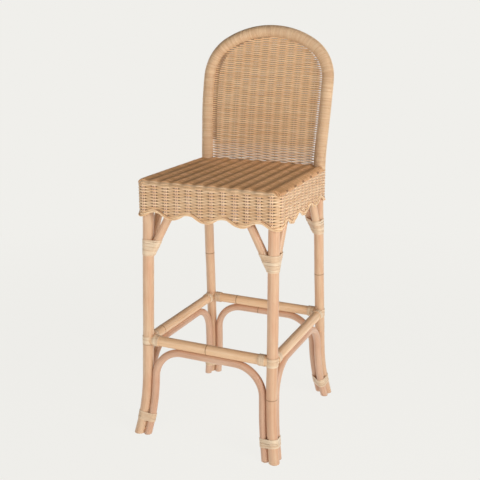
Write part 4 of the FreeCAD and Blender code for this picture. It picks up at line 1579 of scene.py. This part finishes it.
@dataclass
class Skirt:
    """Woven skirt with its stakes and the rolled border along its scallops."""

    plan: SeatPlan
    stakes_per_side: int = 12
    samples: int = 8                # points from one stake to the next
    scallops: int = 4
    rise: float = 18 * MM
    border: float = 9 * MM
    weaver: float = 1.95 * MM
    pitch: float = 4.0 * MM
    swing: float = 2.7 * MM
    out: float = 1.6 * MM           # the weave's middle outside the legs, besides the overhang
    stake: float = 2.2 * MM
    pair: float = 2.9 * MM          # half the distance between the two rods of a stake
    roll: float = 2.3 * MM
    twist: float = 106 * MM
    slit: float = 2.6 * MM          # opening above the border where it falls
    stray: float = 0.35 * MM        # how far a weaver strays from its row
    buried: float = 0.4             # share of the border that stake ends and the lowest row go into
    last_row: float = 0.85          # share of the border above which weavers stop
    side_length: float = 0.4        # metres of unevenness in one side
    over: float = 0.6 * MM          # the border's middle outside the weave's
    shadow: float = 0.9 * MM        # the thin reed's middle outside the border's; that reed is coloured as a painted shadow line
    lap: float = 1.12               # the rolled reeds' distance from the middle, in their radii
    variety: Variety = Variety(0.05, 0.3, 60.0, 0.4, 0.6, 70.0)
    roll_variety: Variety = Variety(0.05, 0.2, 80.0, 0.0, 1.0, 0.0)

    def __post_init__(self) -> None:
        """Read the skirt's heights from the frame."""
        self.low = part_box("skirt_border")[0].z
        self.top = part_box("skirt_weave")[1].z

    def edge(self, share: np.ndarray) -> np.ndarray:
        """Height of the scalloped edge at side-shares."""
        return self.low + self.rise * (1 - np.cos(2 * math.pi * self.scallops * share)) / 2

    def falling(self, share: np.ndarray) -> np.ndarray:
        """How steeply the edge falls at side-shares, from 0 to 1."""
        return np.clip(-np.sin(2 * math.pi * self.scallops * share), 0, 1)

    def build(self) -> None:
        """Make weave, stakes and border."""
        self.make_weave()
        self.make_stakes()
        self.make_border()

    def make_weave(self) -> None:
        """Weavers round the skirt, cut short above the scallops."""
        points, normals, share = self.plan.loop(self.out, self.stakes_per_side * self.samples)
        beat = share * self.stakes_per_side + 0.5
        lines = Lines()
        rows = int((self.top - self.low - self.border * self.buried) / self.pitch)
        for row in range(rows + 1):
            level = self.top - self.pitch * (row - 0.55)
            along = share * self.side_length
            z = level + self.stray * wobble(along, 0.4, 40.0 + row)
            stop = self.edge(share) + self.border * self.last_row
            there = z > stop + self.slit * self.falling(share)
            values = {"thick": self.variety.thickness(self.weaver, along, row),
                      "tone": self.variety.tones(along, row),
                      "beat": beat + row, "hold": np.ones_like(z), "rib": np.zeros_like(z)}
            ring = raised(points, z)
            up = raised(normals, 0.0)
            if there.all():
                lines.add(ring, closed=True, up=up, ring=0.0, **values)
                continue
            first = int(np.argmin(there))
            order = np.roll(np.arange(len(z)), -first)
            flags = there[order]
            starts = np.flatnonzero(flags & ~np.roll(flags, 1))
            ends = np.flatnonzero(flags & ~np.roll(flags, -1))
            for a, b in zip(starts, ends):
                if b - a < 3:
                    continue
                span = order[a:b + 1]
                lines.add(ring[span], up=up[span], ring=0.0, **{k: v[span] for k, v in values.items()})
        piece = recipe(WeaveRecipe).make("skirt_weavers", lines, REED, Sides=6, Swing=self.swing,
                                         Flatness=1.6, Deep=0.9, Tall=1.25)
        settle(piece, Slot.REED, "skirt_weave")

    def make_stakes(self) -> None:
        """Pairs of rods that the weavers cross."""
        points, normals, share = self.plan.loop(self.out, self.stakes_per_side * self.samples)
        ahead = np.stack([-normals[:, 1], normals[:, 0]], axis=1)
        lines = Lines()
        for k in range(4 * self.stakes_per_side):
            at = k * self.samples + self.samples // 2
            bottom = float(self.edge(share[at:at + 1])[0]) + self.border * self.buried
            for rod in (-1, 1):
                place = points[at] + ahead[at] * rod * self.pair
                z = np.linspace(bottom, self.top + 3 * MM, 5)
                chain = raised(np.tile(place, (len(z), 1)), z)
                lines.add(chain, thick=self.stake, tone=(k * 0.37 + rod * 0.2) % 1.0,
                          ring=0.0, depth=1.0)
        piece = recipe(StrandRecipe).make("skirt_stake_rods", lines, SKIRT_STAKE, Sides=7)
        settle(piece, Slot.STAKE, "skirt_stakes")

    def make_border(self) -> None:
        """Three reeds rolled round each other along the scallops, and a thin one above them, coloured as
        a painted shadow line that is darkest where the edge falls.
        """
        points, normals, share = self.plan.loop(self.out + self.over, 160)
        z = self.edge(share) + self.border / 2
        core = raised(points, z)
        ahead = unit(np.roll(core, -1, axis=0) - np.roll(core, 1, axis=0))
        outward = raised(normals, 0.0)
        beside = np.cross(ahead, outward)
        closed = np.concatenate([core, core[:1]])
        along = lengths_along(closed)[:-1]
        total = lengths_along(closed)[-1]
        turns = round(total / self.twist)
        lines = Lines()
        # painted shadow: the thin reed above the border darkens by ring, most on the falling flanks
        deep = core + outward * self.shadow + [0.0, 0.0, self.border * 0.66]
        lines.add(deep, closed=True, thick=1.6 * MM, tone=0.4,
                  ring=0.25 + 0.75 * self.falling(share), depth=1.0)
        for k in range(3):
            phase = 2 * math.pi * (turns * along / total + k / 3)
            offset = outward * np.cos(phase)[:, None] + beside * np.sin(phase)[:, None]
            reed = core + offset * (self.roll * self.lap)
            lines.add(reed, closed=True, thick=self.roll_variety.thickness(self.roll, along, k),
                      tone=0.3 + 0.3 * k, ring=0.0, depth=1.0)
        piece = recipe(StrandRecipe).make("skirt_border_roll", lines, REED, Sides=8)
        settle(piece, Slot.BORDER, "skirt_border")


@dataclass
class SeatTop:
    """Woven seat with ribs from front to back and a rounded edge all round."""

    plan: SeatPlan
    edge: float = 11 * MM
    out: float = 5.4 * MM            # seat edge outside the legs
    stakes: int = 12
    weaver: float = 1.85 * MM
    pitch: float = 3.75 * MM
    swing: float = 0.5 * MM
    rib: float = 1.8 * MM
    stake: float = 1.5 * MM
    turned: float = 0.5              # slope from which the front weavers are the skirt's paler reed
    slot_period: float = 66 * MM     # openings along the side seams, where weavers stop short and their ends darken with painted shadow
    slot_width: float = 17 * MM
    hoop: float = 17.4 * MM          # radius of the wrapped hoop
    fine: float = 0.1 * MM           # between trial points for a surface line
    past: float = 30 * MM            # trial points start this far outside the leg axes
    stray: float = 0.3 * MM          # how far a weaver strays up and down
    shift: float = 0.35 * MM         # and front to back
    point_step: float = 4.2 * MM     # between points of a weaver
    stake_sunk: float = 0.6 * MM     # the stakes' middle under the weave's
    slot_end: float = 0.8            # share of the edge that weavers go down at an opening
    seam_end: float = 0.98           # and elsewhere
    ease: float = 1.6                # how fast the crossings flatten over the rounded edge
    least: float = 0.12              # share of them that stays
    front_ease: float = 0.3          # the same along the front edge
    front_least: float = 0.55
    variety: Variety = Variety(0.06, 0.3, 90.0, 0.45, 0.7, 110.0)

    def __post_init__(self) -> None:
        """Read the seat's height from the frame."""
        self.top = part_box("seat_weave")[1].z - self.weaver
        self.front = float(self.plan.corners[:2, 1].mean())
        self.back = float(self.plan.corners[2:, 1].mean())
        self.half = float(self.plan.corners[1, 0])

    def reach(self, y: np.ndarray) -> np.ndarray:
        """Distance of the seat's edge outside the leg axes, at places front to back."""
        share = np.clip((y - self.front) / (self.back - self.front), 0, 1)
        radii = self.plan.radii[1] + share * (self.plan.radii[2] - self.plan.radii[1])
        return radii + self.out - self.weaver

    def heights(self, places: np.ndarray) -> np.ndarray:
        """Height of the seat's surface.

        Args:
            places: Places in plan.

        Returns:
            A height for each, NaN beyond the edge.
        """
        over = self.plan.distance(places) - (self.reach(places[:, 1]) - self.edge)
        drop = np.clip(over, 0, None)
        inside = np.clip(self.edge**2 - drop**2, 0, None)
        z = self.top - self.edge + np.sqrt(inside)
        return np.where(drop <= self.edge, z, np.nan)

    def row_places(self) -> np.ndarray:
        """Place the weavers from front to back, evenly over the rounded edges.

        Returns:
            Their places front to back.
        """
        y = np.arange(self.front - self.past, self.back + self.past, self.fine)
        z = self.heights(np.stack([np.zeros_like(y), y], axis=1))
        keep = ~np.isnan(z)
        profile = evenly(np.stack([y[keep], z[keep]], axis=1), self.pitch)
        return profile[:, 0]

    def in_slot(self, y: float) -> bool:
        """Whether a place front to back lies at an opening of the side seams."""
        return abs((y - self.front) % self.slot_period - self.slot_period / 2) < self.slot_width / 2

    def row(self, y: float) -> np.ndarray:
        """Lay one weaver over the seat.

        Args:
            y: Its place front to back.

        Returns:
            Its points from left to right, none where the seat is too narrow.
        """
        x = np.arange(0.0, self.half + self.past, self.fine)
        z = self.heights(np.stack([x, np.full_like(x, y)], axis=1))
        keep = ~np.isnan(z)
        beside_hoop = abs(y - self.back) < self.hoop
        if beside_hoop:
            posts = float(self.plan.corners[2, 0])
            keep &= x < posts - math.sqrt(self.hoop**2 - (y - self.back) ** 2) + 2 * MM
        else:
            keep &= z > self.top - self.edge * (self.slot_end if self.in_slot(y) else self.seam_end)
        right = np.stack([x[keep], np.full(keep.sum(), y), z[keep]], axis=1)
        whole = np.concatenate([right[::-1] * [-1, 1, 1], right[1:]])
        return evenly(whole, self.point_step) if len(whole) > 12 else whole[:0]

    def build(self) -> None:
        """Make the weave and its stakes."""
        spacing = 2 * (self.half + self.plan.radii[1]) / self.stakes
        lines, edge_lines = Lines(), Lines()
        for k, y in enumerate(self.row_places()):
            points = self.row(float(y))
            if len(points) < 6:
                continue
            along = lengths_along(points)
            side = unit(np.gradient(points, axis=0))
            up = unit(np.cross(side, [0.0, 1.0, 0.0]))
            up[up[:, 2] < 0] *= -1
            fall = (self.top - points[:, 2]) / self.edge
            front_edge = float(y) < self.front - (float(self.reach(np.array([y]))[0]) - self.edge)
            hold = np.clip(1 - fall * self.ease, self.least, 1)
            if front_edge:
                mid = self.heights(np.array([[0.0, y]]))[0]
                slope = math.acos(np.clip((mid - self.top + self.edge) / self.edge, 0, 1))
                hold = np.full_like(along, max(1 - self.front_ease * slope, self.front_least))
                up = np.tile([0.0, -math.sin(slope), math.cos(slope)], (len(points), 1))
            z_shift = self.stray * wobble(along, 0.25, 200.0 + k)
            moved = points + up * z_shift[:, None]
            moved[:, 1] += self.shift * wobble(along, 0.5, 150.0 + k)
            rib = points[:, 0] / spacing + 0.5
            bundle = edge_lines if front_edge and slope > self.turned else lines
            # painted shadow: at the side openings, weavers darken by ring where they go down the edge
            painted_slot_shadow = self.in_slot(float(y)) and not front_edge
            bundle.add(moved, up=up, hold=hold, beat=rib + k, rib=rib,
                       thick=self.variety.thickness(self.weaver, along, k),
                       tone=self.variety.tones(along, k), ring=np.clip(fall * 4 - 0.8, 0, 1) * painted_slot_shadow)
        # rib shade paints shade in the grooves between the seat's ribs
        for name, bundle, finish, rib_shade, replaced in (
                ("seat_weavers", lines, SEAT_REED, 0.3, ["seat_weave"]),
                ("seat_edge_weavers", edge_lines, REED, 0.2, [])):
            piece = recipe(WeaveRecipe).make(name, bundle, finish, Sides=6, Swing=self.swing,
                                             Rib_Height=self.rib, Tall=1.2, Weave_Shade=0.3,
                                             Rib_Shade=rib_shade)
            settle(piece, Slot.REED, *replaced)
        self.make_stakes(spacing)

    def make_stakes(self, spacing: float) -> None:
        """Stakes front to back under the ribs, over the front edge.

        Args:
            spacing: From rib to rib.
        """
        lines = Lines()
        for k in range(self.stakes):
            x = (k + 0.5 - self.stakes / 2) * spacing
            y = np.arange(self.front - self.past, self.back - self.hoop, self.fine)
            z = self.heights(np.stack([np.full_like(y, x), y], axis=1))
            keep = ~np.isnan(z)
            points = evenly(np.stack([np.full(keep.sum(), x), y[keep], z[keep]], axis=1), 4 * MM)
            points[:, 2] -= self.stake_sunk
            lines.add(points, thick=self.stake, tone=(k * 0.41) % 1.0, ring=0.0, depth=1.0)
        piece = recipe(StrandRecipe).make("seat_stake_rods", lines, SHADED_STAKE_REED, Sides=7)
        settle(piece, Slot.STAKE, "seat_stakes")


# ---- The woven back ----


@dataclass
class Back:
    """Woven back panel, its stakes and the wrapped hoop."""

    poles: PoleFrame
    stakes: int = 12
    samples: int = 7
    weaver: float = 1.5 * MM
    pitch: float = 3.1 * MM
    seat_pitch: float = 4.25 * MM    # the weave is looser just above the seat
    loose: float = 70 * MM
    stake: float = 1.25 * MM
    swing: float = 1.9 * MM
    wrap: float = 18 * MM            # outside of the wrapped hoop
    wrap_reed: float = 1.65 * MM
    wrap_pitch: float = 3.15 * MM
    tuck: float = 3 * MM             # how far weavers go into the wrapping
    bunch: float = 1.6 * MM          # how far rows draw together in pairs at the hoop
    bunch_reach: float = 13 * MM
    stain_reach: float = 20 * MM     # on the left every second row gets painted shadow this near the hoop, as shadowed slits
    open_foot: float = 60 * MM       # on the left the rows part only this near the seat
    held: float = 9 * MM             # weavers lie flat this near the hoop
    narrow: float = 12 * MM          # the crown is left open where half the width is less
    shaded_bunch: float = 0.15       # share of the drawing together that is left where rows get the painted shadow
    thinning: float = 0.3            # share of the thickness that drawn rows lose
    variety: Variety = Variety(0.06, 0.25, 330.0, 0.45, 0.5, 360.0)
    stray: float = 0.22 * MM         # how far a weaver strays from its row

    def __post_init__(self) -> None:
        """Read the right half of the hoop and the edge that the panel meets."""
        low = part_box("hoop_wrap")[0].z
        right = self.poles.legs[Row.BACK, Side.RIGHT].points
        hoop = right[right[:, 2] > low]
        self.path = hoop
        ahead = unit(np.gradient(hoop, axis=0))
        rise = np.maximum(np.gradient(hoop[:, 2]), 1e-6)
        lean = np.interp(hoop[:, 2], hoop[:, 2], np.gradient(hoop[:, 1]) / rise)
        lean = np.clip(lean, 0, 0.4)
        normal = unit(np.stack([np.zeros(len(hoop)), -np.ones(len(hoop)), lean], axis=1))
        inward = unit(np.cross(ahead, normal))
        inward[inward[:, 0] > 0] *= -1
        self.inner = hoop + inward * (self.wrap - self.tuck)
        self.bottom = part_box("seat_weave")[1].z - 4 * MM
        low_edge, high_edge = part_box("back_stakes")
        self.spacing = (high_edge.x - low_edge.x - 2 * self.stake) / (self.stakes - 1)

    def surface_y(self, z: np.ndarray) -> np.ndarray:
        """Front-to-back place of the panel's middle at heights."""
        return np.interp(z, self.path[:, 2], self.path[:, 1])

    def half_width(self, z: float) -> float:
        """Half the panel's width at a height."""
        order = np.argsort(self.inner[:, 2])
        return float(np.interp(z, self.inner[order, 2], self.inner[order, 0], right=0.0))

    def normal(self, z: np.ndarray) -> np.ndarray:
        """The panel's normal towards the front, at heights."""
        slope = (self.surface_y(z + 2 * MM) - self.surface_y(z - 2 * MM)) / (4 * MM)
        return unit(np.stack([np.zeros_like(z), -np.ones_like(z), slope], axis=1))

    def build(self) -> None:
        """Make weave, stakes and wrapping."""
        self.make_weave()
        self.make_stakes()
        self.make_wrap()

    def make_weave(self) -> None:
        """Weavers across the panel, drawn together in pairs where they go round the hoop."""
        lines = Lines()
        crown = float(self.inner[:, 2].max())
        z = self.bottom
        row = 0
        while z < crown - 2 * MM:
            half = self.half_width(z)
            if half > self.narrow:
                count = max(6, int(2 * half / self.spacing * self.samples))
                x = np.linspace(-half, half, count)
                from_edge = half - np.abs(x)
                pull = np.clip(1 - from_edge / self.bunch_reach, 0, 1)
                shaded = (x < 0) & (z > self.bottom + self.open_foot)
                # painted shadow: on the left every second row darkens by ring near the hoop, as slits in
                # shade
                painted_slit_shade = np.clip((self.stain_reach - from_edge) / (4 * MM), 0, 1) * shaded
                pull = pull * np.where(shaded, self.shaded_bunch, 1.0)
                pair = 1 if row % 2 == 0 else -1
                level = z + pair * self.bunch * pull + self.stray * wobble(x, 0.2, 300.0 + row)
                points = np.stack([x, self.surface_y(level), level], axis=1)
                hold = np.clip(from_edge / self.held, 0.0, 1)
                lines.add(points, up=self.normal(level), hold=hold,
                          beat=x / self.spacing + 0.5 + row, rib=0.0,
                          thick=self.variety.thickness(self.weaver, x, row, self.thinning * pull),
                          tone=self.variety.tones(x, row), ring=painted_slit_shade * (1.0 if row % 2 else 0.0))
            share = np.clip((z - self.bottom) / self.loose, 0, 1)
            z += self.seat_pitch + (self.pitch - self.seat_pitch) * share
            row += 1
        piece = recipe(WeaveRecipe).make("back_weavers", lines, BACK_REED, Sides=6, Swing=self.swing,
                                         Flatness=0.3, Deep=0.85, Tall=1.25)
        settle(piece, Slot.REED, "back_weave")

    def make_stakes(self) -> None:
        """Upright rods from inside the seat rail to the hoop."""
        lines = Lines()
        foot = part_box("back_stakes")[0].z
        for k in range(self.stakes):
            x = (k - (self.stakes - 1) / 2) * self.spacing
            inner = self.inner[np.argsort(self.inner[:, 0])]
            top = float(np.interp(abs(x), inner[:, 0], inner[:, 2]))
            z = np.linspace(foot, top, 40)
            level = np.maximum(z, self.path[0, 2])
            points = np.stack([np.full_like(z, x), self.surface_y(level), z], axis=1)
            lines.add(points, thick=self.stake, tone=(k * 0.43) % 1.0, ring=0.0, depth=1.0)
        piece = recipe(StrandRecipe).make("back_stake_rods", lines, SHADED_STAKE_REED, Sides=8)
        settle(piece, Slot.STAKE, "back_stakes")

    def make_wrap(self) -> None:
        """Reed wound round the whole hoop."""
        left = self.path * [-1, 1, 1]
        crown = self.path[-1:] * [0, 1, 1]
        path = np.concatenate([left, crown, self.path[::-1]])
        lines = Lines()
        lines.add(evenly(path, 5 * MM), ring=0.0, depth=1.0)
        piece = recipe(WindingRecipe).make(
            "hoop_winding", lines, WRAP_REED, Sides=6, Pitch=self.wrap_pitch,
            Turn_Radius=self.wrap - self.wrap_reed, Reed_Radius=self.wrap_reed)
        settle(piece, Slot.WRAP, "hoop_wrap")


# ---- Fasteners and studio ----


@dataclass
class Fasteners:
    """Screws and nails keep their CAD shape and get their steel."""

    endings: tuple[str, ...] = ("screws", "nails")

    def build(self) -> None:
        """Dress every group of fasteners."""
        steel = material_of(SteelFinish())
        for name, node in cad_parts.items():
            if name.endswith(self.endings):
                node.data.materials.clear()
                node.data.materials.append(steel)
                LOG.info("%s: steel", name)


@dataclass(frozen=True)
class SoftLight:
    """One square area light that looks at the stool."""

    name: str
    azimuth: float          # place round the stool, degrees
    elevation: float        # above the horizon, degrees
    distance: float         # from the stool's middle
    size: float
    power: float            # watts
    colour: Colour = (1.0, 1.0, 1.0)


@dataclass
class Studio:
    """Camera, lights, floor and surroundings."""

    azimuth: float = 24.17
    elevation: float = 15.85
    distance: float = 2.3546
    aim: Point = (0.002, 0.0027, 0.5508)
    lens: float = 60.2
    sensor: float = 36.0
    backdrop: Colour = (0.871, 0.863, 0.831)
    ambient: float = 0.42           # strength of the surroundings as a light, near the horizon
    zenith_loss: float = 0.9        # share of it that is lost towards the top
    zenith: float = 0.6             # height of a direction from which all of that is lost
    lit_height: float = 0.62        # the lights look at this height
    floor_radius: float = 60.0
    lights: tuple[SoftLight, ...] = (
        SoftLight("key", azimuth=68.0, elevation=15.0, distance=3.2, size=2.0, power=72.0,
                  colour=(1.0, 0.985, 0.965)),
        SoftLight("fill", azimuth=-14.0, elevation=15.0, distance=3.4, size=2.6, power=34.0,
                  colour=(1.0, 0.99, 0.98)),
        SoftLight("rim", azimuth=165.0, elevation=12.0, distance=3.4, size=1.6, power=10.0))

    def build(self) -> None:
        """Set up the studio."""
        self.make_camera()
        self.make_world()
        self.make_floor()
        for light in self.lights:
            self.make_light(light)
        bpy.context.scene.view_settings.view_transform = "Standard"

    @staticmethod
    def direction(azimuth: float, elevation: float) -> Vector:
        """Direction from the middle towards a place round the stool, angles in degrees."""
        a, e = math.radians(azimuth), math.radians(elevation)
        return Vector((math.sin(a) * math.cos(e), -math.cos(a) * math.cos(e), math.sin(e)))

    def make_camera(self) -> None:
        """Camera at three-quarter view from the front right."""
        data = bpy.data.cameras.new("camera")
        data.lens = self.lens
        data.sensor_width = self.sensor
        camera = bpy.data.objects.new("camera", data)
        bpy.context.scene.collection.objects.link(camera)
        back = self.direction(self.azimuth, self.elevation)
        camera.location = Vector(self.aim) + back * self.distance
        camera.rotation_euler = (-back).to_track_quat("-Z", "Y").to_euler()
        bpy.context.scene.camera = camera

    def make_world(self) -> None:
        """Even pale surroundings, dimmer as a light than as a backdrop."""
        world = bpy.data.worlds.new("studio")
        world.use_nodes = True
        bpy.context.scene.world = world
        graph = Graph(world.node_tree)
        nodes = world.node_tree.nodes
        seen = graph.add("ShaderNodeLightPath", out="Is Camera Ray")
        way = graph.add("ShaderNodeTexCoord", out="Generated")
        parts = graph.node("ShaderNodeSeparateXYZ", None, {0: way})
        low = 1.0 - Wire(graph, parts.outputs[2]).between(0.0, self.zenith) * self.zenith_loss
        lit = low * self.ambient
        strength = seen * (1.0 - lit) + lit
        background = nodes["Background"]
        background.inputs["Color"].default_value = (*self.backdrop, 1.0)
        graph.link(strength, background, "Strength")

    def make_floor(self) -> None:
        """Large round floor."""
        mesh = bpy.data.meshes.new("floor")
        turns = np.linspace(0, 2 * math.pi, 96, endpoint=False)
        rim = [(self.floor_radius * math.cos(t), self.floor_radius * math.sin(t), 0.0) for t in turns]
        mesh.from_pydata(rim, [], [tuple(range(len(rim)))])
        mesh.materials.append(material_of(FloorFinish()))
        floor = bpy.data.objects.new("floor", mesh)
        bpy.context.scene.collection.objects.link(floor)

    def make_light(self, light: SoftLight) -> None:
        """Add one of the lights.

        Args:
            light: What it is and where it stands.
        """
        data = bpy.data.lights.new(light.name, "AREA")
        data.shape = "SQUARE"
        data.size = light.size
        data.energy = light.power
        data.color = light.colour
        lamp = bpy.data.objects.new(light.name, data)
        bpy.context.scene.collection.objects.link(lamp)
        away = self.direction(light.azimuth, light.elevation)
        lamp.location = Vector((0.0, 0.0, self.lit_height)) + away * light.distance
        lamp.rotation_euler = (-away).to_track_quat("-Z", "Y").to_euler()


def main() -> None:
    """Build the stool's looks in order: studio, poles, bindings, skirt, seat, back, fasteners."""
    logging.basicConfig(level=logging.INFO, format="%(name)s: %(message)s")
    Studio().build()
    poles = PoleFrame()
    poles.build()
    Bindings(poles).build()
    plan = SeatPlan(poles)
    Skirt(plan).build()
    SeatTop(plan).build()
    Back(poles).build()
    Fasteners().build()


if __name__ == "__main__":
    main()
